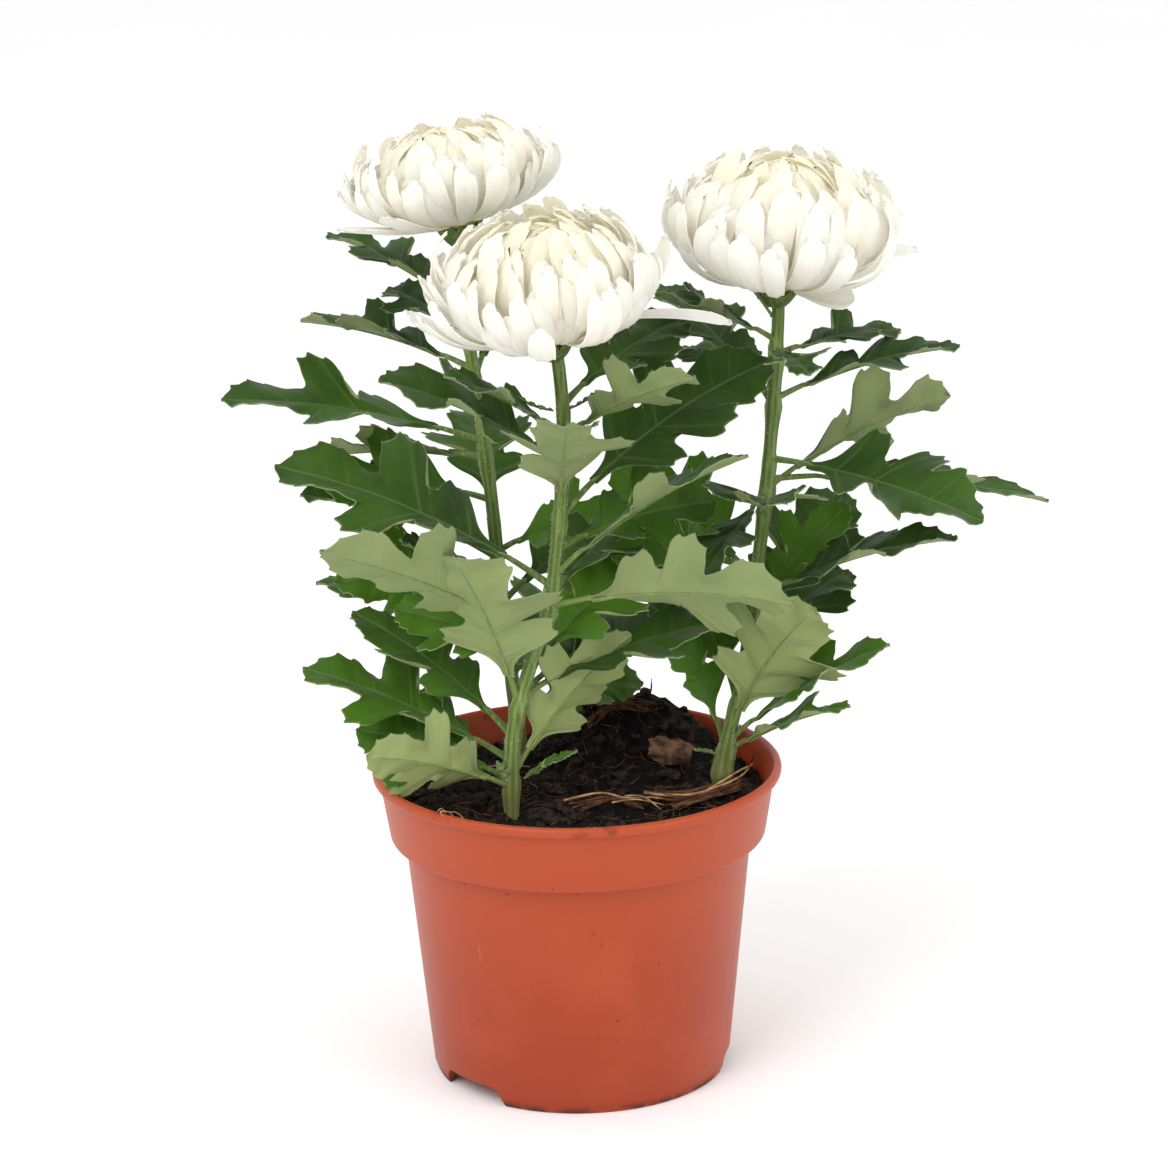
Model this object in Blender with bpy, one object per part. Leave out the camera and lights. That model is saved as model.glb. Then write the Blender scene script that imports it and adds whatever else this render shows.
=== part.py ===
"""A pot chrysanthemum: three leafy stems with one white incurved bloom each, in a 12 cm nursery pot.

Metres, +Z up. The origin is on the pot's axis, in the plane of its foot. The viewer stands at -Y.
Headings turn from +X towards +Y: 0 is to the viewer's right, 90 away, 180 left, 270 towards the viewer.
"""

import math
import random
from collections import namedtuple

import bmesh
import bpy
from mathutils import Matrix, Vector, noise

MM = 0.001

# Pot: a moulded plastic pot with a tapered body, a wider collar and a rolled lip.
POT_HEIGHT = 93.0
LIP_RADIUS = 60.0
COLLAR_TOP_RADIUS = 57.9
COLLAR_FOOT_RADIUS = 55.2
COLLAR_HEIGHT = 21.0
BODY_TOP_RADIUS = 51.0
FOOT_RADIUS = 43.8
WALL = 1.5
STEP_RISE = 0.8
FLOOR_FILLET = 1.8
FLOOR_CORNER = 0.2
LIP_HEIGHT = 3.6
LIP_ROUNDING = 0.3
LIP_CREST = 1.2
LIP_INSIDE = 2.2
LIP_DROP = 0.5
COLLAR_ROUNDING = 0.4
FOOT_ROUNDING = 0.6
FOOT_BELLY = 0.3
FOOT_BELLY_HEIGHT = 2.5
FLOOR_UNDERSIDE = 5.4
FLOOR_TOP = 7.0
# The middle of the floor is pressed down to the plane of the foot and helps to carry the pot.
PRESSED_RADIUS = 12.0
PRESSED_SLOPE = 2.5
NOTCH_HEADINGS = (222.0, -4.0, 107.0)
NOTCH_WIDTH = 28.0
NOTCH_HEIGHT = 5.4
NOTCH_DEPTH = 16.0
NOTCH_TOP_SHARE = 0.78
DRAIN_HEADINGS = (282.0, 42.0, 162.0)
DRAIN_RADIUS = 4.0
DRAIN_DISTANCE = 30.0
DRAIN_CUT = 12.0
POT_SEGMENTS = 36

# Soil: fills the pot to just under the lip, with a low mound behind the stems.
FIT_GAP = 0.3
SOIL_LEVEL = 85.0
SOIL_SHOULDER = 5.0
SOIL_RINGS = 8
SOIL_SEGMENTS = 28
# Each wave of the surface has its length, its height and a number that sets where its crests fall.
SOIL_WAVES = ((14.0, 1.6, 3.1), (6.0, 0.8, 7.7))
SOIL_TILT = 0.03
SOIL_RIM_RADIUS = 44.0
SOIL_RIM_WIDTH = 12.0
SOIL_RIM_DROP = 1.2
MOUND_HEIGHT = 13.5
MOUND_CENTRE = (18.0, 44.0)
MOUND_SPREAD = 27.0
MOUND_EDGE = 56.0
MOUND_EDGE_WIDTH = 5.0
HOLE_GAP = 0.5
HOLE_CUT = 60.0

# A chip of bark lies on the soil in front of the right-hand stem.
CHIP_SIZE = (13.0, 10.0, 3.4)
CHIP_PLACE = (27.5, 15.0)
CHIP_HEADING = 155.0
CHIP_LIFT = 0.9
CHIP_TAPER = 0.9
CHIP_THINNING = 0.5
CHIP_RAGGED = 0.3
CHIP_GRAIN = 3.0

# Leaves: one outline for all, in shares of the blade's length. The foot is where a side vein leaves the
# midrib, and x and y are where it meets the edge.
Station = namedtuple("Station", "foot x y")
LEAF_OUTLINE = (
    Station(0.00, 0.00, 0.04),
    Station(0.11, 0.14, 0.08),
    Station(0.16, 0.28, 0.25),
    Station(0.23, 0.37, 0.22),
    Station(0.29, 0.37, 0.12),
    Station(0.35, 0.52, 0.37),
    Station(0.44, 0.64, 0.34),
    Station(0.53, 0.61, 0.15),
    Station(0.68, 0.79, 0.20),
    Station(1.00, 1.00, 0.02),
)
PETIOLE_SHARE = 0.18
PETIOLE_RADIUS = 1.15
BLADE_THICKNESS = 1.3
BLADE_WAVE = 12.0
BLADE_WAVE_TURNS = 13.0

# A leaf leaves its stem at a height, with a heading and a mean slope, droops along its length by an
# angle, and is rolled about its midrib. The fold lifts both halves of the blade.
Leaf = namedtuple("Leaf", "height heading slope length droop roll width fold")

# A stem runs through points (x, y, z); its radius tapers from foot to head.
STEM_SIDES = 7
Plant = namedtuple("Plant", "name path foot_radius head_radius leaves")

LEFT_PLANT = Plant(
    "plant_left",
    (
        (-17, 30, 62), (-17, 30, 88), (-18.6, 29, 104), (-22, 27, 142), (-24, 25.5, 168),
        (-26.5, 24, 194), (-30.0, 22, 221), (-30.9, 20, 242),
    ),
    2.6,
    1.9,
    (
        Leaf(225, 150, 21, 50, 20, 5, 0.85, 15),
        Leaf(216, 131, 14, 38, 20, -10, 0.95, 15),
        Leaf(206, 160, 12, 56, 25, 2, 0.8, 20),
        Leaf(184, 192, 13, 79, 20, -14, 0.72, 12),
        Leaf(179, 160, -3, 52, 20, 20, 0.8, 20),
        Leaf(148, 192, 22, 63, 25, -12, 0.85, 15),
        Leaf(124, 165, 12, 61, 25, -5, 0.85, 15),
        Leaf(136, 226, 32, 46, 20, -10, 0.95, 12),
        Leaf(160, 98, 25, 54, 30, 0, 0.95, 12),
        Leaf(110, 60, 22, 54, 30, 10, 0.95, 12),
        Leaf(204, 70, 25, 46, 25, 0, 0.95, 12),
        Leaf(134, 20, 30, 50, 25, 30, 0.95, 12),
    ),
)
FRONT_PLANT = Plant(
    "plant_front",
    (
        (-19, -22, 62), (-19, -22, 86), (-18.5, -23, 102), (-16.5, -24, 117), (-11.9, -25, 132.5),
        (-7.3, -26, 146), (-4.8, -26.5, 162), (-2.6, -28, 186), (-2, -29, 203), (-3.2, -30.5, 220),
    ),
    2.5,
    2.1,
    (
        Leaf(93, 203, 20, 47, 20, 62, 1.05, 12),
        Leaf(118, 236, 60, 60, 20, 10, 1.2, 12),
        Leaf(96, 14, 48, 54, 25, -70, 0.95, 12),
        Leaf(101, 162, 20, 68, 20, -12, 0.75, 12),
        Leaf(108, 147, 28, 64, 25, -12, 0.75, 12),
        Leaf(138, 204, 28, 74, 20, 40, 0.8, 12),
        Leaf(154, 168, 22, 87, 25, -17, 0.8, 12),
        Leaf(190, 190, 28, 58, 25, -15, 1.05, 15),
        Leaf(176, 275, 45, 48, 30, 0, 1.1, 12),
        Leaf(148, 338, 6, 74, 25, -50, 0.85, 12),
        Leaf(121, 18, 14, 64, 25, 15, 0.85, 12),
        Leaf(151, 57, 16, 46, 25, 10, 0.9, 12),
        Leaf(122, 44, 14, 50, 25, 15, 0.9, 12),
        Leaf(199, 208, 30, 42, 20, -10, 0.9, 12),
        Leaf(207, 46, 18, 54, 25, 15, 0.85, 12),
        Leaf(198, 331, 27, 47, 20, -30, 0.95, 12),
        Leaf(174, 28, 28, 80, 30, 25, 0.8, 12),
        Leaf(157, 343, 34, 69, 25, -5, 0.65, 12),
    ),
)
RIGHT_PLANT = Plant(
    "plant_right",
    (
        (42.4, 0, 62), (42.4, 0, 86), (43.8, 0, 97), (46.2, 0, 107), (49, 1, 118), (52.3, 3, 141),
        (55.1, 5, 164), (57.6, 7, 188), (59.3, 9, 211), (60, 10, 226),
    ),
    2.5,
    2.1,
    (
        Leaf(212, 21, 5, 40, 25, 5, 0.9, 12),
        Leaf(199, 358, 16, 56, 25, 5, 0.8, 12),
        Leaf(173, 17, 22, 62, 25, -45, 1.0, 12),
        Leaf(182, 338, -12, 66, 20, 12, 1.15, 12),
        Leaf(166, 269, 18, 46, 25, 0, 1.1, 12),
        Leaf(141, 344, 20, 64, 25, 5, 0.75, 12),
        Leaf(176, 10, -8, 86, 20, 0, 0.45, 12),
        Leaf(129, 53, 32, 62, 25, 15, 0.85, 12),
        Leaf(123, 46, 20, 50, 25, 10, 0.9, 12),
        Leaf(100, 318, 54, 56, 25, -60, 1.1, 12),
        Leaf(98, 348, 34, 58, 25, 8, 0.75, 12),
        Leaf(95, 334, 26, 44, 25, 0, 0.8, 12),
        Leaf(96, 170, 64, 52, 25, -20, 0.8, 12),
        Leaf(111, 120, 45, 46, 25, -20, 0.9, 12),
        Leaf(146, 150, 32, 56, 25, -40, 1.0, 12),
        Leaf(172, 238, -25, 44, 20, 20, 0.8, 12),
        Leaf(216, 197, 25, 42, 20, -5, 0.8, 12),
        Leaf(198, 131, 30, 56, 20, 0, 0.75, 12),
        Leaf(204, 125, 4, 44, 20, 0, 0.9, 12),
        Leaf(213, 284, 0, 32, 20, 0, 0.9, 12),
    ),
)

# A bloom sits on its stem's head, its axis leaning from the vertical by an angle towards a heading.
Petal = namedtuple("Petal", "heading root_radius root_height rise bend length width twist")
Bloom = namedtuple("Bloom", "name place lean lean_heading width_scale height_scale seed extra_petals")
BLOOMS = (
    Bloom(
        "bloom_left", (-31.0, 19.5, 249), 10, 172, 1.08, 0.79, 3,
        (
            Petal(206, 5, 1, 14, 14, 38, 11, 0),
            Petal(188, 5, 1, 8, 26, 36, 10, 0),
        ),
    ),
    Bloom(
        "bloom_front", (-5.0, -31.5, 226), 12, 250, 1.06, 0.9, 5,
        (
            Petal(12, 5, 4, 10, -34, 54, 5, 50),
            Petal(199, 5, 1, 12, 70, 50, 13, 0),
        ),
    ),
    Bloom(
        "bloom_right", (59.5, 10.2, 231.5), 9, 310, 1.12, 0.93, 8,
        (
            Petal(326, 4, 1, -12, 42, 29, 12, 0),
            Petal(205, 5, 1, 2, 108, 38, 11, 0),
        ),
    ),
)
GOLDEN_ANGLE = 137.508
PETAL_COUNT = 31
PETAL_THICKNESS = 1.2
# Each measure of a petal goes from its value at the outermost to its value at the innermost petal, and
# strays from it by up to its spread. The lengths and widths stray by a share of themselves.
PETAL_RISE = (14.0, 80.0)
RISE_POWER = 2.6
PETAL_BEND = (128.0, 84.0)
PETAL_LENGTH = (49.0, 29.0)
PETAL_WIDTH = (14.5, 9.5)
HEADING_SPREAD = 7.0
RISE_SPREAD = 6.0
BEND_SPREAD = 10.0
LENGTH_SPREAD = 0.08
WIDTH_SPREAD = 0.1
TWIST_SPREAD = 14.0
# The petals' roots climb over a small cone inside the core.
ROOT_RADIUS = 5.2
ROOT_HEIGHT = (1.0, 12.0)
# A petal bends ever more towards its tip, by this power of the share of its length.
PETAL_CURVE = 1.6
SPINE_STEPS = 12
# Shares of a petal's length, its half width there and how far its edges lift, in shares of the full
# half width.
PETAL_STATIONS = ((0.0, 0.4, 0.3), (0.4, 0.85, 0.45), (0.78, 1.0, 0.4), (1.0, 0.68, 0.25))
PETAL_SHOULDER = 0.1
# The core is an egg on a small flat foot.
CORE_RADIUS = 16.0
CORE_HEIGHT = 30.0
CORE_FOOT_RADIUS = 4.5
CORE_STEPS = 7
CALYX_RADIUS = 6.6
CALYX_HEIGHT = 6.0
CALYX_FOOT_RADIUS = 2.4
# The calyx narrows to this share of its radius at this share of its height.
CALYX_WAIST = (0.8, 0.5)
# The stem runs this share of the calyx's height up into it.
STEM_SINK = 0.4


def clear_scene():
    """Removes what the startup file holds."""
    for obj in list(bpy.data.objects):
        bpy.data.objects.remove(obj, do_unlink=True)


def material(name, colour, roughness):
    """A plain material of one colour, given as sRGB from 0 to 255."""
    made = bpy.data.materials.new(name)
    made.use_nodes = True
    shader = made.node_tree.nodes["Principled BSDF"]
    linear = [((c / 255 + 0.055) / 1.055) ** 2.4 for c in colour]
    shader.inputs["Base Color"].default_value = (*linear, 1.0)
    shader.inputs["Roughness"].default_value = roughness
    shader.inputs["Metallic"].default_value = 0.0
    made.diffuse_color = (*linear, 1.0)
    return made


def add_object(name, bm, finish=None, collection=None):
    """Puts a bmesh, drawn in millimetres, into the scene as an object in metres."""
    bmesh.ops.scale(bm, vec=(MM, MM, MM), verts=bm.verts)
    bmesh.ops.recalc_face_normals(bm, faces=bm.faces)
    mesh = bpy.data.meshes.new(name)
    bm.to_mesh(mesh)
    bm.free()
    if finish:
        mesh.materials.append(finish)
    obj = bpy.data.objects.new(name, mesh)
    (collection or bpy.context.scene.collection).objects.link(obj)
    return obj


def smooth(obj, angle=35.0):
    """Shades a round piece smooth, with its hard edges kept."""
    obj.data.shade_smooth()
    obj.data.set_sharp_from_angle(angle=math.radians(angle))


def on_circle(radius, heading, height):
    """A point at a radius and a heading round the vertical axis."""
    turn = math.radians(heading)
    return Vector((radius * math.cos(turn), radius * math.sin(turn), height))


def bake(obj):
    """Applies an object's modifiers to its mesh."""
    graph = bpy.context.evaluated_depsgraph_get()
    mesh = bpy.data.meshes.new_from_object(obj.evaluated_get(graph))
    obj.modifiers.clear()
    obj.data = mesh


def subtract(obj, cutters):
    """Cuts each cutter from an object and removes the cutters."""
    for cutter in cutters:
        cutter.hide_render = True
        cut = obj.modifiers.new("cut_" + cutter.name, "BOOLEAN")
        cut.operation = "DIFFERENCE"
        cut.object = cutter
    bake(obj)
    for cutter in cutters:
        bpy.data.objects.remove(cutter, do_unlink=True)


def tube(points, radii, sides, name, collection):
    """A closed tube through points, made by extruding one face from ring to ring."""
    bm = bmesh.new()
    bmesh.ops.create_circle(bm, cap_ends=True, radius=1.0, segments=sides)
    face = bm.faces[:][0]
    corners = [vert.co.copy() for vert in face.verts]
    along = [Vector(point) for point in points]
    for index, (point, radius) in enumerate(zip(along, radii)):
        if index:
            made = bmesh.ops.extrude_discrete_faces(bm, faces=[face])
            face = made["faces"][0]
        before = along[max(index - 1, 0)]
        after = along[min(index + 1, len(along) - 1)]
        turn = (after - before).to_track_quat("Z", "Y")
        for vert, corner in zip(face.verts, corners):
            vert.co = point + turn @ (corner * radius)
    # The first extrusion leaves the start open.
    bmesh.ops.holes_fill(bm, edges=[edge for edge in bm.edges if edge.is_boundary], sides=sides)
    return add_object(name, bm, collection=collection)


def pot_profile():
    """The pot's section as (radius, height), from the middle of the floor's top round to its underside."""
    collar_foot = POT_HEIGHT - COLLAR_HEIGHT
    return (
        (0, WALL),
        (PRESSED_RADIUS, WALL),
        (PRESSED_RADIUS + PRESSED_SLOPE, FLOOR_TOP),
        (FOOT_RADIUS - WALL - FLOOR_FILLET, FLOOR_TOP),
        (FOOT_RADIUS - WALL + FLOOR_CORNER, FLOOR_TOP + FLOOR_FILLET),
        (BODY_TOP_RADIUS - WALL, collar_foot + WALL),
        (COLLAR_FOOT_RADIUS - WALL, collar_foot + WALL + STEP_RISE),
        (COLLAR_TOP_RADIUS - WALL, POT_HEIGHT - LIP_HEIGHT),
        (LIP_RADIUS - LIP_INSIDE, POT_HEIGHT - LIP_DROP),
        (LIP_RADIUS - LIP_CREST, POT_HEIGHT),
        (LIP_RADIUS - LIP_ROUNDING, POT_HEIGHT - LIP_DROP),
        (LIP_RADIUS, POT_HEIGHT - 0.5 * LIP_HEIGHT),
        (LIP_RADIUS - LIP_ROUNDING, POT_HEIGHT - 0.8 * LIP_HEIGHT),
        (COLLAR_TOP_RADIUS, POT_HEIGHT - LIP_HEIGHT),
        (COLLAR_FOOT_RADIUS, collar_foot + COLLAR_ROUNDING / 2),
        (COLLAR_FOOT_RADIUS - COLLAR_ROUNDING, collar_foot),
        (BODY_TOP_RADIUS, collar_foot),
        (FOOT_RADIUS + FOOT_BELLY, FOOT_BELLY_HEIGHT),
        (FOOT_RADIUS - FOOT_ROUNDING, 0),
        (FOOT_RADIUS - WALL - FOOT_ROUNDING, 0),
        (FOOT_RADIUS - WALL - FOOT_ROUNDING, FLOOR_UNDERSIDE),
        (PRESSED_RADIUS + PRESSED_SLOPE - WALL / 2, FLOOR_UNDERSIDE),
        (PRESSED_RADIUS - WALL / 2, 0),
        (0, 0),
    )


def spin_profile(profile, segments):
    """A closed solid of revolution of a profile whose ends lie on the axis."""
    bm = bmesh.new()
    verts = [bm.verts.new((radius, 0, height)) for radius, height in profile]
    edges = [bm.edges.new(pair) for pair in zip(verts, verts[1:])]
    bmesh.ops.spin(
        bm, geom=verts + edges, cent=(0, 0, 0), axis=(0, 0, 1), dvec=(0, 0, 0),
        angle=2 * math.pi, steps=segments, use_merge=True, use_duplicate=False,
    )
    bmesh.ops.remove_doubles(bm, verts=bm.verts, dist=1e-4)
    return bm


def notch_cutter(heading):
    """A drain notch in the foot: a block that widens downwards, across the foot's ring."""
    bm = bmesh.new()
    bmesh.ops.create_cube(bm, size=1.0)
    bmesh.ops.scale(bm, vec=(NOTCH_DEPTH, NOTCH_WIDTH, 2 * NOTCH_HEIGHT), verts=bm.verts)
    for vert in bm.verts:
        if vert.co.z > 0:
            vert.co.y *= NOTCH_TOP_SHARE
    centre = on_circle(FOOT_RADIUS - WALL, heading, 0)
    turn = Matrix.Rotation(math.radians(heading), 4, "Z")
    bmesh.ops.transform(bm, matrix=Matrix.Translation(centre) @ turn, verts=bm.verts)
    return add_object("notch", bm)


def drain_cutter(heading):
    """A round drain hole through the pot's floor."""
    bm = bmesh.new()
    bmesh.ops.create_cone(
        bm, cap_ends=True, segments=16, radius1=DRAIN_RADIUS, radius2=DRAIN_RADIUS, depth=DRAIN_CUT,
        matrix=Matrix.Translation(on_circle(DRAIN_DISTANCE, heading, FLOOR_TOP)),
    )
    return add_object("drain", bm)


def make_pot():
    """The moulded pot with its notched foot and drained floor."""
    finish = material("pot_plastic", (200, 92, 60), 0.42)
    pot = add_object("pot", spin_profile(pot_profile(), POT_SEGMENTS), finish)
    cutters = [notch_cutter(heading) for heading in NOTCH_HEADINGS]
    cutters += [drain_cutter(heading) for heading in DRAIN_HEADINGS]
    subtract(pot, cutters)
    smooth(pot)
    return pot


def soil_height(x, y):
    """The soil's surface: uneven, lower at the left, with a mound behind."""
    waves = 0.0
    for length, height, place in SOIL_WAVES:
        waves += height * noise.noise(Vector((x / length, y / length, place)))
    away = math.hypot(x - MOUND_CENTRE[0], y - MOUND_CENTRE[1]) / MOUND_SPREAD
    distance = math.hypot(x, y)
    mound = MOUND_HEIGHT * math.exp(-away ** 3) * min(1.0, (MOUND_EDGE - distance) / MOUND_EDGE_WIDTH)
    rim = max(0.0, (distance - SOIL_RIM_RADIUS) / SOIL_RIM_WIDTH)
    return SOIL_LEVEL + waves + mound + SOIL_TILT * x - SOIL_RIM_DROP * rim


def soil_radius(height):
    """The inner radius of the pot at a height, less the gap that the soil keeps to it."""
    collar_foot = POT_HEIGHT - COLLAR_HEIGHT
    levels = (
        (FLOOR_TOP, FOOT_RADIUS - WALL - FLOOR_FILLET),
        (FLOOR_TOP + FLOOR_FILLET, FOOT_RADIUS - WALL + FLOOR_CORNER),
        (collar_foot + WALL, BODY_TOP_RADIUS - WALL),
        (collar_foot + WALL + STEP_RISE, COLLAR_FOOT_RADIUS - WALL),
        (POT_HEIGHT - LIP_HEIGHT, COLLAR_TOP_RADIUS - WALL),
    )
    for (low, narrow), (high, wide) in zip(levels, levels[1:]):
        if height <= high:
            share = (height - low) / (high - low)
            return narrow + share * (wide - narrow) - 2 * FIT_GAP
    return levels[-1][1] - 2 * FIT_GAP


def make_soil():
    """The soil as one solid, with a plain hole for each stem."""
    collar_foot = POT_HEIGHT - COLLAR_HEIGHT
    step = collar_foot + WALL
    heights = (
        FLOOR_TOP + FIT_GAP,
        FLOOR_TOP + FLOOR_FILLET,
        step + 2 * FIT_GAP,
        step + STEP_RISE + 2 * FIT_GAP,
        SOIL_LEVEL - SOIL_SHOULDER,
    )
    profile = [
        (0, WALL + FIT_GAP),
        (PRESSED_RADIUS - 2 * FIT_GAP, WALL + FIT_GAP),
        (PRESSED_RADIUS + PRESSED_SLOPE - 2 * FIT_GAP, heights[0]),
    ]
    profile += [(soil_radius(height - 2 * FIT_GAP), height) for height in heights]
    edge = soil_radius(SOIL_LEVEL - SOIL_SHOULDER)
    for ring in range(SOIL_RINGS):
        profile.append((edge * (1 - ring / SOIL_RINGS), SOIL_LEVEL))
    profile.append((0, SOIL_LEVEL))
    bm = spin_profile(profile, SOIL_SEGMENTS)
    for vert in bm.verts:
        if vert.co.z > SOIL_LEVEL - 1.0:
            vert.co.z = soil_height(vert.co.x, vert.co.y)
    soil = add_object("soil", bm, material("potting_soil", (46, 36, 30), 0.95))
    subtract(soil, [hole_cutter(plant) for plant in (LEFT_PLANT, FRONT_PLANT, RIGHT_PLANT)])
    return soil


def hole_cutter(plant):
    """The hole that a stem stands in, a little wider and deeper than its buried end."""
    radius = plant.foot_radius + HOLE_GAP
    x, y, bottom = plant.path[0]
    bm = bmesh.new()
    bmesh.ops.create_cone(
        bm, cap_ends=True, segments=12, radius1=radius, radius2=radius, depth=HOLE_CUT,
        matrix=Matrix.Translation((x, y, bottom - FIT_GAP + HOLE_CUT / 2)),
    )
    return add_object("hole", bm)


def make_chip():
    """A flat chip of bark with broken corners, lying on the soil."""
    bm = bmesh.new()
    bmesh.ops.create_cube(bm, size=1.0)
    bmesh.ops.subdivide_edges(bm, edges=bm.edges[:], cuts=1, use_grid_fill=True)
    bmesh.ops.scale(bm, vec=CHIP_SIZE, verts=bm.verts)
    for vert in bm.verts:
        across = vert.co.x / CHIP_SIZE[0]
        ragged = CHIP_RAGGED * noise.noise(vert.co / CHIP_GRAIN)
        vert.co.y *= 1.0 - CHIP_TAPER * across * across + ragged
        vert.co.z *= 1.0 - CHIP_THINNING * abs(across)
    x, y = CHIP_PLACE
    half = CHIP_SIZE[0] / 2
    along = Vector((2 * half, 0, soil_height(x + half, y) - soil_height(x - half, y)))
    back = Vector((0, 2 * half, soil_height(x, y + half) - soil_height(x, y - half)))
    up = along.cross(back).normalized()
    centre = Vector((x, y, soil_height(x, y))) + up * (CHIP_SIZE[2] / 2 + CHIP_LIFT)
    lie = up.to_track_quat("Z", "Y").to_matrix().to_4x4()
    turn = lie @ Matrix.Rotation(math.radians(CHIP_HEADING), 4, "Z")
    bmesh.ops.transform(bm, matrix=Matrix.Translation(centre) @ turn, verts=bm.verts)
    return add_object("bark_chip", bm, material("bark", (96, 66, 46), 0.9))


def point_on(path, height):
    """The point of a stem's path at a height."""
    for low, high in zip(path, path[1:]):
        if height <= high[2]:
            share = (height - low[2]) / (high[2] - low[2])
            return Vector(low).lerp(Vector(high), share)
    return Vector(path[-1])


def arc_frame(root, heading, slope, droop, length, share):
    """The place and the tangent, side and normal at a share of an arc that starts at a root."""
    start = math.radians(slope + droop / 2)
    fall = math.radians(droop) if abs(droop) > 0.1 else 0.002
    now = start - fall * share
    out = length * (math.sin(start) - math.sin(now)) / fall
    up = length * (math.cos(now) - math.cos(start)) / fall
    forward = on_circle(1.0, heading, 0)
    side = on_circle(1.0, heading + 90, 0)
    place = root + forward * out + Vector((0, 0, up))
    tangent = forward * math.cos(now) + Vector((0, 0, math.sin(now)))
    normal = tangent.cross(side)
    return place, tangent, side, normal


def leaf_frame(leaf, root, share):
    """The frame of a leaf's midrib, with its roll, which the petiole takes up."""
    place, tangent, side, normal = arc_frame(root, leaf.heading, leaf.slope, leaf.droop, leaf.length, share)
    roll = math.radians(leaf.roll) * min(1.0, share / PETIOLE_SHARE)
    rolled_side = side * math.cos(roll) + normal * math.sin(roll)
    rolled_normal = normal * math.cos(roll) - side * math.sin(roll)
    return place, tangent, rolled_side, rolled_normal


def blade_point(leaf, root, station, across):
    """A point of the blade: on the midrib where across is 0, on its edges at -1 and 1."""
    share = PETIOLE_SHARE + (1 - PETIOLE_SHARE) * station.foot
    place, tangent, side, normal = leaf_frame(leaf, root, share)
    if across == 0:
        return place
    blade = leaf.length * (1 - PETIOLE_SHARE)
    wave = BLADE_WAVE * math.sin(BLADE_WAVE_TURNS * station.foot + leaf.heading + across)
    fold = math.radians(leaf.fold + wave)
    reach = station.y * blade * leaf.width
    outward = side * (across * math.cos(fold)) + normal * math.sin(fold)
    return place + tangent * (blade * (station.x - station.foot)) + outward * reach


def make_blade(leaf, root, collection):
    """The lobed blade, a grid of vein stations from its foot to its tip."""
    last = len(LEAF_OUTLINE) - 1
    bm, cells = blade_grid(last)
    for vert, (along, across) in cells.items():
        vert.co = blade_point(leaf, root, LEAF_OUTLINE[along], across)
    rim = thicken(bm, BLADE_THICKNESS)
    bmesh.ops.collapse(bm, edges=rim)
    add_object("blade", bm, collection=collection)


def blade_grid(last):
    """A flat grid three points wide, split into triangles that mirror each other across the midrib.

    It returns the bmesh, and for each vertex its row along the blade and its side: -1, 0 or 1.
    """
    bm = bmesh.new()
    bmesh.ops.create_grid(bm, x_segments=last, y_segments=2, size=1.0)
    cells = {vert: (round((vert.co.x + 1) / 2 * last), round(vert.co.y)) for vert in bm.verts}
    for face in bm.faces[:]:
        rows = [cells[vert][0] for vert in face.verts]
        outer_row = min(rows) if min(rows) < last / 2 else max(rows)
        outer = next(v for v in face.verts if cells[v][1] != 0 and cells[v][0] == outer_row)
        inner = next(v for v in face.verts if cells[v][1] == 0 and cells[v][0] != outer_row)
        bmesh.utils.face_split(face, outer, inner)
    return bm, cells


def thicken(bm, thickness):
    """Gives a sheet its thickness downwards, both faces split into the same triangles.

    It returns the short edges round the rim, between the two faces.
    """
    bm.normal_update()
    number = bm.verts.layers.int.new("number")
    fall = []
    for index, vert in enumerate(bm.verts):
        vert[number] = index
        fall.append(vert.normal * thickness)
    made = bmesh.ops.extrude_face_region(bm, geom=bm.faces[:], use_keep_orig=True)
    lower = {item for item in made["geom"] if isinstance(item, bmesh.types.BMVert)}
    for vert in lower:
        vert.co = vert.co - fall[vert[number]]
    return [edge for edge in bm.edges if len(lower & set(edge.verts)) == 1]


def make_petiole(leaf, root, collection):
    """The leaf's stalk, which runs on under the foot of the blade."""
    shares = (0.0, 0.12, 0.26)
    points = [leaf_frame(leaf, root, share)[0] for share in shares]
    radii = (PETIOLE_RADIUS * 1.3, PETIOLE_RADIUS, PETIOLE_RADIUS * 0.7)
    tube(points, radii, 4, "petiole", collection)


def stem_radius(plant, share):
    """The stem's radius at a share of its path, from foot to head."""
    return plant.foot_radius + share * (plant.head_radius - plant.foot_radius)


def make_stem(plant, bloom, collection):
    """The stem, from its buried foot to the calyx under its bloom."""
    last = len(plant.path) - 1
    radii = [stem_radius(plant, index / last) for index in range(last + 1)]
    calyx = bloom_matrix(bloom)
    points = list(plant.path) + [calyx @ Vector((0, 0, -CALYX_HEIGHT * (1.0 - STEM_SINK)))]
    tube(points, radii + [plant.head_radius], STEM_SIDES, "stem", collection)


def make_calyx(bloom, collection):
    """The cup of bracts that holds a bloom, closed by a flat top."""
    profile = (
        (0, -FIT_GAP),
        (CALYX_RADIUS, -FIT_GAP),
        (CALYX_RADIUS * CALYX_WAIST[0], -CALYX_HEIGHT * CALYX_WAIST[1]),
        (CALYX_FOOT_RADIUS, -CALYX_HEIGHT),
        (0, -CALYX_HEIGHT),
    )
    bm = spin_profile(profile, 12)
    bmesh.ops.transform(bm, matrix=bloom_matrix(bloom), verts=bm.verts)
    add_object("calyx", bm, collection=collection)


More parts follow.
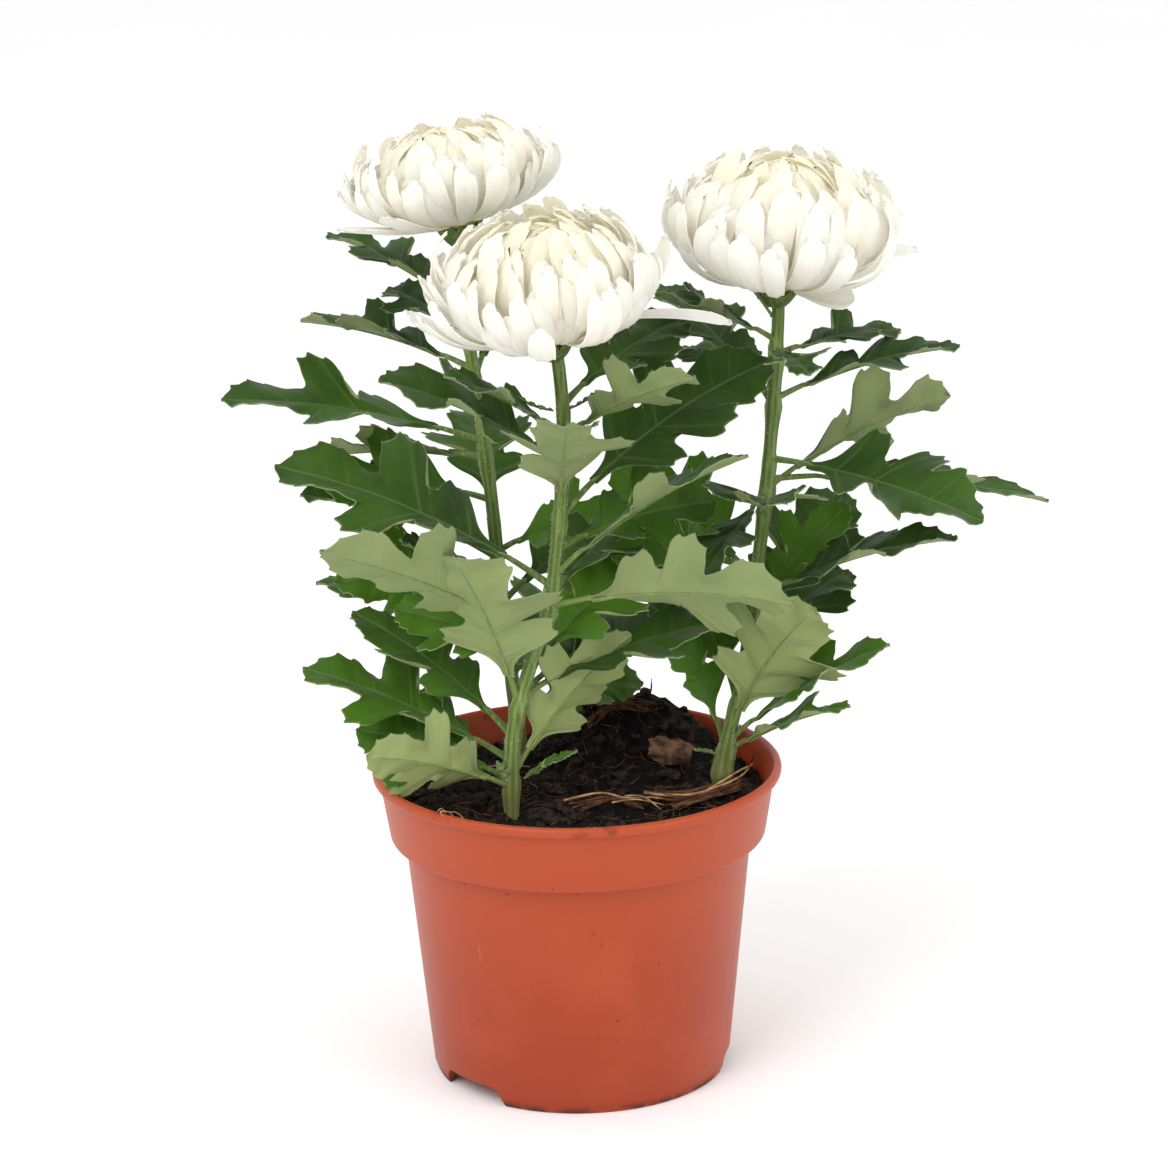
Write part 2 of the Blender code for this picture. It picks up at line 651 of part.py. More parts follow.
def join_collection(name, collection, finish):
    """Fuses a collection's solids into one object and removes them."""
    first = collection.objects[0]
    rest = bpy.data.collections.new(name + "_rest")
    bpy.context.scene.collection.children.link(rest)
    for obj in list(collection.objects)[1:]:
        collection.objects.unlink(obj)
        rest.objects.link(obj)
    union = first.modifiers.new("union", "BOOLEAN")
    union.operation = "UNION"
    union.operand_type = "COLLECTION"
    union.collection = rest
    bake(first)
    for obj in list(rest.objects):
        bpy.data.objects.remove(obj, do_unlink=True)
    bpy.data.collections.remove(rest)
    keep_main_body(first.data)
    first.name = name
    first.data.name = name
    first.data.materials.clear()
    first.data.materials.append(finish)
    bpy.context.scene.collection.objects.link(first)
    bpy.data.collections.remove(collection)
    return first


def keep_main_body(mesh):
    """Drops sealed hollows and loose scraps, so that one body is left."""
    bm = bmesh.new()
    bm.from_mesh(mesh)
    bmesh.ops.triangulate(bm, faces=bm.faces[:])
    unseen = set(bm.faces)
    groups = []
    while unseen:
        found = [unseen.pop()]
        for face in found:
            near = {other for edge in face.edges for other in edge.link_faces} & unseen
            unseen -= near
            found.extend(near)
        groups.append(found)
    groups.sort(key=len, reverse=True)
    for group in groups[1:]:
        bmesh.ops.delete(bm, geom=group, context="FACES")
    bm.to_mesh(mesh)
    bm.free()


def make_plant(plant, bloom, finish):
    """One leafy stem as one solid."""
    collection = bpy.data.collections.new(plant.name)
    bpy.context.scene.collection.children.link(collection)
    make_stem(plant, bloom, collection)
    make_calyx(bloom, collection)
    for leaf in plant.leaves:
        root = point_on(plant.path, leaf.height)
        make_petiole(leaf, root, collection)
        make_blade(leaf, root, collection)
    return join_collection(plant.name, collection, finish)


def bloom_matrix(bloom):
    """The bloom's own frame: origin at the top of the calyx, +Z along its axis."""
    lean = Matrix.Rotation(math.radians(bloom.lean), 4, on_circle(1.0, bloom.lean_heading + 90, 0))
    return Matrix.Translation(Vector(bloom.place)) @ lean


def between(ends, share):
    """The value at a share of the way from one end to the other."""
    return ends[0] + (ends[1] - ends[0]) * share


def bloom_petals(bloom):
    """The petals from the outermost to the innermost, spread by the golden angle."""
    draw = random.Random(bloom.seed)
    petals = list(bloom.extra_petals)
    for index in range(PETAL_COUNT):
        inward = (index + 0.5) / PETAL_COUNT
        petals.append(
            Petal(
                heading=index * GOLDEN_ANGLE + draw.uniform(-HEADING_SPREAD, HEADING_SPREAD),
                root_radius=ROOT_RADIUS * math.sqrt(1.0 - inward),
                root_height=between(ROOT_HEIGHT, inward),
                rise=between(PETAL_RISE, inward ** RISE_POWER) + draw.uniform(-RISE_SPREAD, RISE_SPREAD),
                bend=between(PETAL_BEND, inward) + draw.uniform(-BEND_SPREAD, BEND_SPREAD),
                length=between(PETAL_LENGTH, inward) * (1.0 + draw.uniform(-LENGTH_SPREAD, LENGTH_SPREAD)),
                width=between(PETAL_WIDTH, inward) * (1.0 + draw.uniform(-WIDTH_SPREAD, WIDTH_SPREAD)),
                twist=draw.uniform(-TWIST_SPREAD, TWIST_SPREAD),
            )
        )
    return petals


def petal_line(petal, share):
    """How far out and up a petal's middle line has come at a share of its length, and its slope there."""
    out = 0.0
    up = 0.0
    step = share / SPINE_STEPS
    for index in range(SPINE_STEPS):
        slope = math.radians(petal.rise + petal.bend * (step * (index + 0.5)) ** PETAL_CURVE)
        out += petal.length * step * math.cos(slope)
        up += petal.length * step * math.sin(slope)
    return out, up, math.radians(petal.rise + petal.bend * share ** PETAL_CURVE)


def petal_point(petal, station, across):
    """A point of a petal in the bloom's frame: on its middle at 0 across, on its edges at -1 and 1."""
    share, half_width, lift = station
    out, up, slope = petal_line(petal, share - PETAL_SHOULDER * abs(across) * share * share)
    place = on_circle(petal.root_radius + out, petal.heading, petal.root_height + up)
    tangent = on_circle(math.cos(slope), petal.heading, math.sin(slope))
    side = on_circle(1.0, petal.heading + 90, 0)
    normal = tangent.cross(side)
    turn = Matrix.Rotation(math.radians(petal.twist) * share, 3, tangent)
    half = petal.width / 2
    outward = (turn @ side) * (across * half * half_width)
    return place + outward + (turn @ normal) * (abs(across) * half * lift)


def make_petal(petal, frame, collection):
    """One cupped petal, thickest along its middle and thin at its edges."""
    bm, cells = blade_grid(len(PETAL_STATIONS) - 1)
    for vert, (along, across) in cells.items():
        vert.co = petal_point(petal, PETAL_STATIONS[along], across)
    rim = thicken(bm, PETAL_THICKNESS)
    bmesh.ops.collapse(bm, edges=rim)
    bmesh.ops.transform(bm, matrix=frame, verts=bm.verts)
    add_object("petal", bm, collection=collection)


def make_core(frame, collection):
    """The heart of a bloom, hidden by the petals that grow from it."""
    profile = [(0, 0), (CORE_FOOT_RADIUS, 0)]
    for step in range(1, CORE_STEPS):
        turn = math.pi * step / CORE_STEPS
        profile.append((CORE_RADIUS * math.sin(turn), CORE_HEIGHT * (1.0 - math.cos(turn)) / 2))
    profile.append((0, CORE_HEIGHT))
    bm = spin_profile(profile, 12)
    bmesh.ops.transform(bm, matrix=frame, verts=bm.verts)
    add_object("core", bm, collection=collection)


def make_bloom(bloom, finish):
    """One bloom as one solid: its petals fused to its core."""
    collection = bpy.data.collections.new(bloom.name)
    bpy.context.scene.collection.children.link(collection)
    size = Matrix.Diagonal((bloom.width_scale, bloom.width_scale, bloom.height_scale, 1.0))
    frame = bloom_matrix(bloom) @ size
    make_core(frame, collection)
    for petal in bloom_petals(bloom):
        make_petal(petal, frame, collection)
    return join_collection(bloom.name, collection, finish)


def main():
    """Builds the pot, the soil and the three plants with their blooms."""
    clear_scene()
    make_pot()
    make_soil()
    make_chip()
    green = material("leaf_green", (84, 100, 68), 0.6)
    white = material("petal_white", (236, 236, 222), 0.55)
    for plant, bloom in zip((LEFT_PLANT, FRONT_PLANT, RIGHT_PLANT), BLOOMS):
        made = make_plant(plant, bloom, green)
        print(made.name, len(made.data.polygons))
        made = make_bloom(bloom, white)
        print(made.name, len(made.data.polygons))


if __name__ == "__main__":
    main()
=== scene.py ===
"""The looks of a pot chrysanthemum: three leafy stems with white incurved blooms in a terracotta pot.

Shapes are drawn in millimetres, with the origin on the pot's axis in the plane of its foot, and are brought
to metres when a piece is finished. Headings turn from +X towards +Y: 0 is to the viewer's right, 90 away,
180 left and 270 towards the viewer.
"""

import logging
import math
import random
from collections.abc import Callable, Iterable, Sequence
from dataclasses import dataclass, field
from enum import Enum

import bmesh
import bpy
from mathutils import Matrix, Vector, noise


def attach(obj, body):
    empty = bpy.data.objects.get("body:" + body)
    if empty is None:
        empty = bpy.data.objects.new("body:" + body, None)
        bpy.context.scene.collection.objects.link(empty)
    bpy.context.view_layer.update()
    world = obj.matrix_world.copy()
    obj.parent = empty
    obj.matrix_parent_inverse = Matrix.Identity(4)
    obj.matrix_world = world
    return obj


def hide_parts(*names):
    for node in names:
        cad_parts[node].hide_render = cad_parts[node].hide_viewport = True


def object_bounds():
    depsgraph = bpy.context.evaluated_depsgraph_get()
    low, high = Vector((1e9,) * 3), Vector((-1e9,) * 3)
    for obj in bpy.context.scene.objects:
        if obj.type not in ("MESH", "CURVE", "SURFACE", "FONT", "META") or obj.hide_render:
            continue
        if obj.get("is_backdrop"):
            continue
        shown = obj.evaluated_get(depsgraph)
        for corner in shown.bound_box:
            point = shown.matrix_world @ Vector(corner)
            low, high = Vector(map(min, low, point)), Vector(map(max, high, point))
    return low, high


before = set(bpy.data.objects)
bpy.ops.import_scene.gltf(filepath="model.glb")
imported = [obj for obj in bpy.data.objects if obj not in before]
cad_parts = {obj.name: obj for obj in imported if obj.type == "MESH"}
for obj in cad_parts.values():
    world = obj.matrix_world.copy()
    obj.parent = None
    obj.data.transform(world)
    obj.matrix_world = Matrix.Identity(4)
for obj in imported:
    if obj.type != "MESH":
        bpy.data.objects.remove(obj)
CAD_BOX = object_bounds()

log = logging.getLogger("chrysanthemum")

MM = 0.001
BODY = "root"
SEAM = 1e-4
GOLDEN_ANGLE = 137.508
STRAND_TIP = 0.4
NEAR = 0.01


class Slot(Enum):
    """The record's material slots."""

    POT = "pot"
    SOIL = "soil"
    BARK = "bark"
    FOLIAGE = "foliage"
    PETALS = "petals"


def srgb(red: float, green: float, blue: float) -> tuple[float, float, float, float]:
    """Turns a screen colour into the linear colour that shaders take.

    Args:
        red: The red share, from 0 to 255.
        green: The green share.
        blue: The blue share.

    Returns:
        The linear colour, with full alpha.
    """
    linear = [((part / 255 + 0.055) / 1.055) ** 2.4 for part in (red, green, blue)]
    return (*linear, 1.0)


class Signal:
    """A node's output, on which Python's operators make Math nodes."""

    def __init__(self, board: "Board", socket: bpy.types.NodeSocket) -> None:
        """Wraps a socket of a board's node tree."""
        self.board = board
        self.socket = socket

    def math(self, operation: str, *others: "Signal | float") -> "Signal":
        """Makes a Math node whose first value is this signal.

        Args:
            operation: The Math node's operation.
            others: The node's other values.

        Returns:
            The node's output.
        """
        values: dict[int, Signal | float] = {0: self}
        values.update(enumerate(others, 1))
        return self.board.node("ShaderNodeMath", {"operation": operation}, values)

    def __add__(self, other: "Signal | float") -> "Signal":
        """Adds."""
        return self.math("ADD", other)

    __radd__ = __add__

    def __sub__(self, other: "Signal | float") -> "Signal":
        """Subtracts."""
        return self.math("SUBTRACT", other)

    def __rsub__(self, other: float) -> "Signal":
        """Subtracts this signal from a number."""
        return self.board.node("ShaderNodeMath", {"operation": "SUBTRACT"}, {0: other, 1: self})

    def __mul__(self, other: "Signal | float") -> "Signal":
        """Multiplies."""
        return self.math("MULTIPLY", other)

    __rmul__ = __mul__

    def __pow__(self, other: float) -> "Signal":
        """Raises to a power."""
        return self.math("POWER", other)

    def __abs__(self) -> "Signal":
        """Takes the size without the sign."""
        return self.math("ABSOLUTE")

    def least(self, other: "Signal | float") -> "Signal":
        """The lesser of two values."""
        return self.math("MINIMUM", other)

    def most(self, other: "Signal | float") -> "Signal":
        """The greater of two values."""
        return self.math("MAXIMUM", other)

    def sine(self) -> "Signal":
        """The sine of the value, in radians."""
        return self.math("SINE")

    def rise(self, low: float, high: float) -> "Signal":
        """A soft step from 0 at low to 1 at high."""
        return self.board.node(
            "ShaderNodeMapRange",
            {"interpolation_type": "SMOOTHSTEP"},
            {"Value": self, "From Min": low, "From Max": high},
        )


Input = Signal | float | tuple


class Board:
    """The node tree of one material."""

    def __init__(self, name: str) -> None:
        """Starts a material with nothing but its output node."""
        self.material = bpy.data.materials.new(name)
        self.material.use_nodes = True
        self.tree = self.material.node_tree
        self.tree.nodes.clear()

    def node(
        self,
        kind: str,
        settings: dict[str, object] | None = None,
        inputs: dict[int | str, Input] | None = None,
        output: int | str = 0,
    ) -> Signal:
        """Adds a node, sets it up and feeds it.

        Args:
            kind: The node's type.
            settings: Its properties; "stops" gives a colour ramp's stops as pairs of place and value.
            inputs: A value or a signal for each socket, by name or number.
            output: The output that is wanted.

        Returns:
            That output.
        """
        made = self.tree.nodes.new(kind)
        for name, value in (settings or {}).items():
            if name == "stops":
                self.set_stops(made.color_ramp, value)
            else:
                setattr(made, name, value)
        for name, value in (inputs or {}).items():
            if isinstance(value, Signal):
                self.tree.links.new(value.socket, made.inputs[name])
            else:
                made.inputs[name].default_value = value
        return Signal(self, made.outputs[output])

    @staticmethod
    def set_stops(ramp: bpy.types.ColorRamp, stops: Sequence[tuple[float, float]]) -> None:
        """Gives a colour ramp its grey stops, as pairs of place and value."""
        while len(ramp.elements) > 1:
            ramp.elements.remove(ramp.elements[-1])
        for index, (place, value) in enumerate(stops):
            element = ramp.elements.new(place) if index else ramp.elements[0]
            element.position = place
            element.color = (value, value, value, 1.0)

    def attribute(self, name: str) -> Signal:
        """A number that the piece's own mesh carries."""
        return self.node("ShaderNodeAttribute", {"attribute_name": name}, output="Fac")

    def place(self) -> Signal:
        """The point of the surface, in metres."""
        return self.node("ShaderNodeTexCoord", output="Object")

    def height(self) -> Signal:
        """The height of the surface's point, in metres."""
        return self.node("ShaderNodeSeparateXYZ", inputs={0: self.place()}, output="Z")

    def stretched(self, scale: tuple[float, float, float]) -> Signal:
        """The point of the surface, with each axis scaled."""
        return self.node("ShaderNodeMapping", inputs={"Vector": self.place(), "Scale": scale})

    def noise(self, scale: float, detail: float = 3.0, vector: Signal | None = None) -> Signal:
        """Cloudy noise from 0 to 1.

        Args:
            scale: Waves for each metre.
            detail: How many finer layers there are.
            vector: Where it is read, if not at the surface's point.

        Returns:
            The noise.
        """
        where = vector or self.place()
        return self.node("ShaderNodeTexNoise", inputs={"Vector": where, "Scale": scale, "Detail": detail})

    def cells(self, scale: float, feature: str = "F1") -> Signal:
        """The distance to the nearest of scattered points, in cells."""
        settings = {"feature": feature}
        return self.node("ShaderNodeTexVoronoi", settings, {"Vector": self.place(), "Scale": scale})

    def mix(self, factor: Input, first: Input, second: Input) -> Signal:
        """Goes from a first colour at 0 to a second colour at 1."""
        inputs = {0: factor, 6: first, 7: second}
        return self.node("ShaderNodeMix", {"data_type": "RGBA"}, inputs, output=2)

    def bump(self, height: Signal, distance: float, strength: float = 1.0) -> Signal:
        """A normal tilted by a height.

        Args:
            height: The height, in units of distance.
            distance: How far the surface stands out where the height is 1, in metres.
            strength: How much of the tilt is used.

        Returns:
            The normal.
        """
        inputs = {"Height": height, "Distance": distance, "Strength": strength}
        return self.node("ShaderNodeBump", inputs=inputs)

    def surface(
        self, sockets: dict[str, Input], through: Input | None = None, share: float = 0.0
    ) -> bpy.types.Material:
        """Ends the tree in a Principled shader, with some light let through where a share is given.

        Args:
            sockets: The shader's values and signals, by name.
            through: The colour of the light let through.
            share: How much of the surface lets light through.

        Returns:
            The finished material.
        """
        shader = self.node("ShaderNodeBsdfPrincipled", inputs=sockets)
        if through is not None:
            thin = self.node("ShaderNodeBsdfTranslucent", inputs={"Color": through})
            shader = self.node("ShaderNodeMixShader", inputs={0: share, 1: shader, 2: thin})
        end = self.tree.nodes.new("ShaderNodeOutputMaterial")
        self.tree.links.new(shader.socket, end.inputs["Surface"])
        return self.material


@dataclass(frozen=True)
class PetalFinish:
    """White petals that turn creamy towards the heart and greenish at their roots, with a faint painted glow
    that stands in for light scattered among them.
    """

    white: tuple = srgb(252, 251, 247)
    cream: tuple = srgb(254, 248, 216)
    root: tuple = srgb(242, 238, 192)
    line: tuple = srgb(226, 220, 200)
    streaks: float = 34.0
    furrows: float = 7.5
    furrow_depth: float = 0.00018
    painted_glow: float = 0.06
    sheerness: float = 0.5

    def make(self) -> bpy.types.Material:
        """Builds the material."""
        board = Board("petal")
        along = board.attribute("along")
        across = board.attribute("across")
        heart = board.attribute("heart")
        inner = (heart ** 1.6 * 0.7 + (1.0 - along) ** 2.2 * 0.5).least(1.0)
        colour = board.mix(inner, self.white, self.cream)
        colour = board.mix((1.0 - along.rise(0.02, 0.2)) * 0.45, colour, self.root)
        wander = board.noise(240.0, 2.0) * 2.2
        lines = (across * self.streaks + wander).sine() * 0.5 + 0.5
        shade = board.mix(lines * 0.12, colour, self.line)
        grooves = (across * self.furrows).sine() * 0.6 + lines * 0.4
        return board.surface(
            {
                "Base Color": shade,
                "Roughness": board.noise(900.0) * 0.14 + 0.42,
                "Specular IOR Level": 0.3,
                "Normal": board.bump(grooves, self.furrow_depth, 0.55),
                "Subsurface Weight": 0.15,
                "Subsurface Radius": (1.0, 0.9, 0.7),
                "Subsurface Scale": 0.0015,
                # Painted light: the petals glow faintly in white and cream, standing in for light scattered
                # between them.
                "Emission Color": board.mix(inner, self.white, self.cream),
                "Emission Strength": self.painted_glow,
            },
            through=shade,
            share=self.sheerness,
        )


@dataclass(frozen=True)
class LeafFinish:
    """Leaves: dark satin green above, pale grey-green beneath, with fine veins and downy margins, and a
    brighter green painted where light would come through the lower leaves.
    """

    upper: tuple = srgb(28, 52, 14)
    upper_light: tuple = srgb(55, 84, 26)
    upper_bright_lit_through: tuple = srgb(74, 118, 18)
    upper_vein: tuple = srgb(104, 132, 72)
    lower: tuple = srgb(140, 154, 102)
    lower_bright_lit_through: tuple = srgb(160, 173, 108)
    lower_vein: tuple = srgb(160, 172, 126)
    margin: tuple = srgb(140, 156, 116)
    through: tuple = srgb(120, 176, 20)
    vein_feet: tuple = (
        (0.158, 1.0), (0.205, 0.3), (0.330, 0.3), (0.38, 1.0),
        (0.60, 0.35), (0.69, 0.6), (0.775, 0.5), (0.88, 0.3),
    )
    vein_width: float = 0.008
    midrib_width: float = 0.0007
    relief_depth: float = 0.00016
    sheerness: float = 0.2

    def veins(self, board: Board) -> Signal:
        """Where the midrib and the side veins run, from 0 to 1."""
        stops = [(0.0, 0.0)]
        for foot, strength in self.vein_feet:
            stops += [(foot - self.vein_width, 0.0), (foot, strength), (foot + self.vein_width, 0.0)]
        ramp = board.node("ShaderNodeValToRGB", {"stops": stops}, {0: board.attribute("along")})
        fade = 1.0 - abs(board.attribute("across")) * 0.75
        side_veins = board.node("ShaderNodeRGBToBW", inputs={0: ramp}) * fade
        midrib = 1.0 - board.attribute("reach").rise(0.3 * self.midrib_width, self.midrib_width)
        return side_veins.most(midrib)

    def make(self) -> bpy.types.Material:
        """Builds the material."""
        board = Board("leaf")
        under = board.attribute("under")
        tone = board.attribute("tone")
        edge = abs(board.attribute("across")).rise(0.965, 1.0)
        veins = self.veins(board)
        cloud = board.noise(70.0, 4.0).rise(0.3, 0.7)
        patches = board.noise(22.0, 2.0).rise(0.42, 0.68)
        top = board.mix(cloud * 0.7, self.upper, self.upper_light)
        # Painted light: the brighter green stands for light let through the lower leaves; random patches of
        # it add tone.
        top = board.mix((tone + patches * 0.35).least(1.0), top, self.upper_bright_lit_through)
        top = board.mix(veins * 0.5, top, self.upper_vein)
        # Painted light too: undersides of leaves painted as lit through turn paler and brighter.
        bottom = board.mix(tone * 0.8 + cloud * 0.2, self.lower, self.lower_bright_lit_through)
        bottom = board.mix(veins * 0.4, bottom, self.lower_vein)
        colour = board.mix(under.rise(0.35, 0.65), top, bottom)
        down = board.noise(2600.0, 2.0).rise(0.62, 0.80)
        colour = board.mix(down * 0.12, colour, self.margin)
        colour = board.mix(edge * 0.45, colour, self.margin)
        network = board.cells(900.0, "DISTANCE_TO_EDGE").rise(0.0, 0.12)
        relief = network * 0.35 + veins * (under * 2.0 - 1.0) * 1.4 + board.noise(1500.0, 2.0) * 0.4
        return board.surface(
            {
                "Base Color": colour,
                "Roughness": board.noise(300.0) * 0.16 + under * 0.14 + 0.44,
                "Specular IOR Level": 0.22,
                "Normal": board.bump(relief, self.relief_depth, 0.7),
                "Sheen Weight": 0.08,
                "Sheen Roughness": 0.4,
            },
            through=board.mix(under * 0.3 + 0.3, self.through, colour),
            share=self.sheerness,
        )


@dataclass(frozen=True)
class StemFinish:
    """Light green ribbed stems, paler on the ribs, browner near the soil."""

    green: tuple = srgb(112, 132, 66)
    pale: tuple = srgb(144, 162, 94)
    dark: tuple = srgb(84, 106, 46)
    woody: tuple = srgb(112, 100, 62)
    fleck: tuple = srgb(180, 192, 146)
    soil_level: float = 0.088
    woody_height: float = 0.014
    relief_depth: float = 0.0002

    def make(self) -> bpy.types.Material:
        """Builds the material."""
        board = Board("stem")
        rib = board.attribute("rib")
        streaks = board.noise(900.0, 3.0, board.stretched((1.0, 1.0, 0.06)))
        colour = board.mix(rib.rise(0.2, 0.9), self.dark, self.green)
        colour = board.mix(streaks.rise(0.45, 0.75) * 0.6, colour, self.pale)
        low = 1.0 - board.height().rise(self.soil_level, self.soil_level + self.woody_height)
        colour = board.mix(low * 0.5, colour, self.woody)
        flecks = board.noise(3200.0, 2.0).rise(0.62, 0.8)
        colour = board.mix(flecks * 0.2, colour, self.fleck)
        return board.surface(
            {
                "Base Color": colour,
                "Roughness": streaks * 0.2 + 0.42,
                "Specular IOR Level": 0.25,
                "Normal": board.bump(streaks + flecks * 0.5, self.relief_depth, 0.5),
                "Sheen Weight": 0.08,
                "Sheen Roughness": 0.5,
            }
        )


@dataclass(frozen=True)
class PlainFinish:
    """A natural material in two colours, clouded together, with a rough surface."""

    name: str
    first: tuple
    second: tuple
    scale: float
    roughness: float
    relief: float = 0.0002
    gloss: float = 0.25
    low: float = 0.35
    high: float = 0.65

    def make(self) -> bpy.types.Material:
        """Builds the material."""
        board = Board(self.name)
        cloud = board.noise(self.scale, 5.0)
        fine = board.noise(self.scale * 5.0, 3.0)
        colour = board.mix(cloud.rise(self.low, self.high), self.first, self.second)
        return board.surface(
            {
                "Base Color": board.mix(fine.rise(0.5, 0.8) * 0.35, colour, self.second),
                "Roughness": fine * 0.1 + (self.roughness - 0.05),
                "Specular IOR Level": self.gloss,
                "Normal": board.bump(cloud + fine * 0.6, self.relief, 0.9),
            }
        )


@dataclass(frozen=True)
class SoilFinish:
    """Damp peat, near black, with brown lumps and rusty fibres."""

    dark: tuple = srgb(9, 7, 6)
    brown: tuple = srgb(40, 28, 21)
    rust: tuple = srgb(88, 54, 36)
    crumb: tuple = srgb(74, 60, 50)
    relief_depth: float = 0.0008

    def make(self) -> bpy.types.Material:
        """Builds the material."""
        board = Board("peat")
        lumps = board.noise(260.0, 5.0)
        grain = board.noise(1400.0, 4.0)
        fibre = board.noise(420.0, 3.0, board.stretched((1.0, 0.22, 0.6)))
        colour = board.mix(lumps.rise(0.45, 0.74), self.dark, self.brown)
        colour = board.mix(fibre.rise(0.60, 0.72) * 0.45, colour, self.rust)
        colour = board.mix(grain.rise(0.58, 0.8) * 0.3, colour, self.crumb)
        return board.surface(
            {
                "Base Color": colour,
                "Roughness": grain * 0.25 + 0.68,
                "Specular IOR Level": 0.12,
                "Normal": board.bump(lumps * 1.4 + grain * 0.8 + fibre * 0.6, self.relief_depth, 0.9),
            }
        )


@dataclass(frozen=True)
class PotFinish:
    """Moulded terracotta-coloured plastic, faintly mottled, scratched and dirty at its foot, with shade
    painted darker towards the foot.
    """

    plastic: tuple = srgb(168, 68, 34)
    lighter: tuple = srgb(175, 76, 44)
    shaded_plastic: tuple = srgb(152, 56, 26)
    scratch: tuple = srgb(200, 112, 82)
    dirt: tuple = srgb(58, 32, 20)
    dirt_height: float = 0.0035
    shade_height: float = 0.09
    lip_dirt: tuple = (0.0885, 0.0915)
    relief_depth: float = 0.00005

    def make(self) -> bpy.types.Material:
        """Builds the material."""
        board = Board("pot_plastic")
        cloud = board.noise(34.0, 4.0)
        height = board.height()
        # Painted shade: the plastic is painted darker towards the foot, over the whole height of the pot.
        colour = board.mix(height.rise(0.0, self.shade_height), self.shaded_plastic, self.plastic)
        colour = board.mix(cloud.rise(0.45, 0.75) * 0.5, colour, self.lighter)
        drag = board.noise(520.0, 3.0, board.stretched((1.0, 1.0, 0.05)))
        scratches = drag.rise(0.66, 0.74) * board.noise(60.0, 2.0).rise(0.5, 0.62)
        colour = board.mix(scratches * 0.3, colour, self.scratch)
        specks = (1.0 - board.cells(210.0).rise(0.05, 0.12)) * board.noise(26.0, 1.0).rise(0.52, 0.64)
        smear = board.noise(150.0, 5.0)
        foot = (1.0 - height.rise(0.0, self.dirt_height)) * smear.rise(0.40, 0.58)
        rim = height.rise(*self.lip_dirt) * smear.rise(0.56, 0.70) * 0.5
        colour = board.mix((specks * 0.6 + foot * 0.8 + rim).least(0.9), colour, self.dirt)
        relief = drag * 0.25 + scratches * 0.5 + board.noise(2400.0, 2.0) * 0.25
        return board.surface(
            {
                "Base Color": colour,
                "Roughness": cloud * 0.10 + scratches * 0.15 + foot * 0.3 + 0.36,
                "Specular IOR Level": 0.28,
                "Normal": board.bump(relief, self.relief_depth, 0.5),
            }
        )


FLOOR = PlainFinish("pale_floor", srgb(251, 251, 251), srgb(250, 250, 250), 4.0, 0.7, 0.0)
BARK = PlainFinish("bark", srgb(58, 38, 27), srgb(126, 92, 68), 260.0, 0.85, 0.0006)
CLOD = PlainFinish("clod", srgb(14, 10, 8), srgb(58, 43, 33), 520.0, 0.94, 0.0012)
FIBRE = PlainFinish("fibre", srgb(64, 40, 27), srgb(112, 74, 48), 300.0, 0.85)
ROOT = PlainFinish("root", srgb(140, 98, 62), srgb(196, 160, 114), 300.0, 0.7)
TWIG = PlainFinish("twig", srgb(24, 18, 15), srgb(66, 50, 38), 500.0, 0.85)
DOWN = PlainFinish("down", srgb(196, 204, 178), srgb(224, 228, 208), 300.0, 0.6, 0.00001)


def on_circle(radius: float, heading: float, height: float = 0.0) -> Vector:
    """A point at a radius and a heading in degrees round the vertical axis."""
    turn = math.radians(heading)
    return Vector((radius * math.cos(turn), radius * math.sin(turn), height))


def smooth_point(points: Sequence[Vector], share: float) -> Vector:
    """A point of the smooth curve that runs through given points.

    Args:
        points: The points, at least two.
        share: Where on the curve, from 0 at the first point to 1 at the last.

    Returns:
        The point there.
    """
    last = len(points) - 1
    index = min(int(share * last), last - 1)
    part = share * last - index
    before = points[max(index - 1, 0)]
    start = points[index]
    end = points[index + 1]
    after = points[min(index + 2, last)]
    return 0.5 * (
        2.0 * start
        + (end - before) * part
        + (2.0 * before - 5.0 * start + 4.0 * end - after) * part ** 2
        + (3.0 * start - before - 3.0 * end + after) * part ** 3
    )


def run_of(points: Sequence[Vector], share: float) -> Vector:
    """The way that a smooth curve runs at a share of it, from a little before to a little after."""
    return smooth_point(points, min(share + NEAR, 1.0)) - smooth_point(points, max(share - NEAR, 0.0))


def smooth_value(stops: Sequence[tuple[float, ...]], share: float, column: int = 1) -> float:
    """Reads a smooth curve through stops, whose first number is where they stand."""
    for index, (low, high) in enumerate(zip(stops, stops[1:])):
        if share <= high[0]:
            part = (share - low[0]) / (high[0] - low[0])
            before = stops[max(index - 1, 0)][column]
            after = stops[min(index + 2, len(stops) - 1)][column]
            points = [Vector((value,) * 3) for value in (before, low[column], high[column], after)]
            return smooth_point(points, (1.0 + part) / 3.0).x
    return stops[-1][column]


def finish(
    bm: bmesh.types.BMesh,
    name: str,
    material: bpy.types.Material,
    slot: Slot,
    replaced: Iterable[str] = (),
    sharp: float = 50.0,
) -> bpy.types.Object:
    """Turns a drawing in millimetres into a finished piece that rides on the part's body.

    Args:
        bm: The drawing, which is used up.
        name: The piece's name.
        material: Its material.
        slot: The record's slot that it takes its finish from; not used.
        replaced: The frame's nodes that it stands for.
        sharp: The angle in degrees from which an edge stays sharp.

    Returns:
        The piece.
    """
    bmesh.ops.scale(bm, vec=(MM, MM, MM), verts=bm.verts)
    mesh = bpy.data.meshes.new(name)
    bm.to_mesh(mesh)
    bm.free()
    mesh.materials.append(material)
    mesh.shade_smooth()
    mesh.set_sharp_from_angle(angle=math.radians(sharp))
    piece = bpy.data.objects.new(name, mesh)
    bpy.context.scene.collection.objects.link(piece)
    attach(piece, BODY)
    for node in replaced:
        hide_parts(node)
    log.info("%s: %d faces", name, len(mesh.polygons))
    return piece


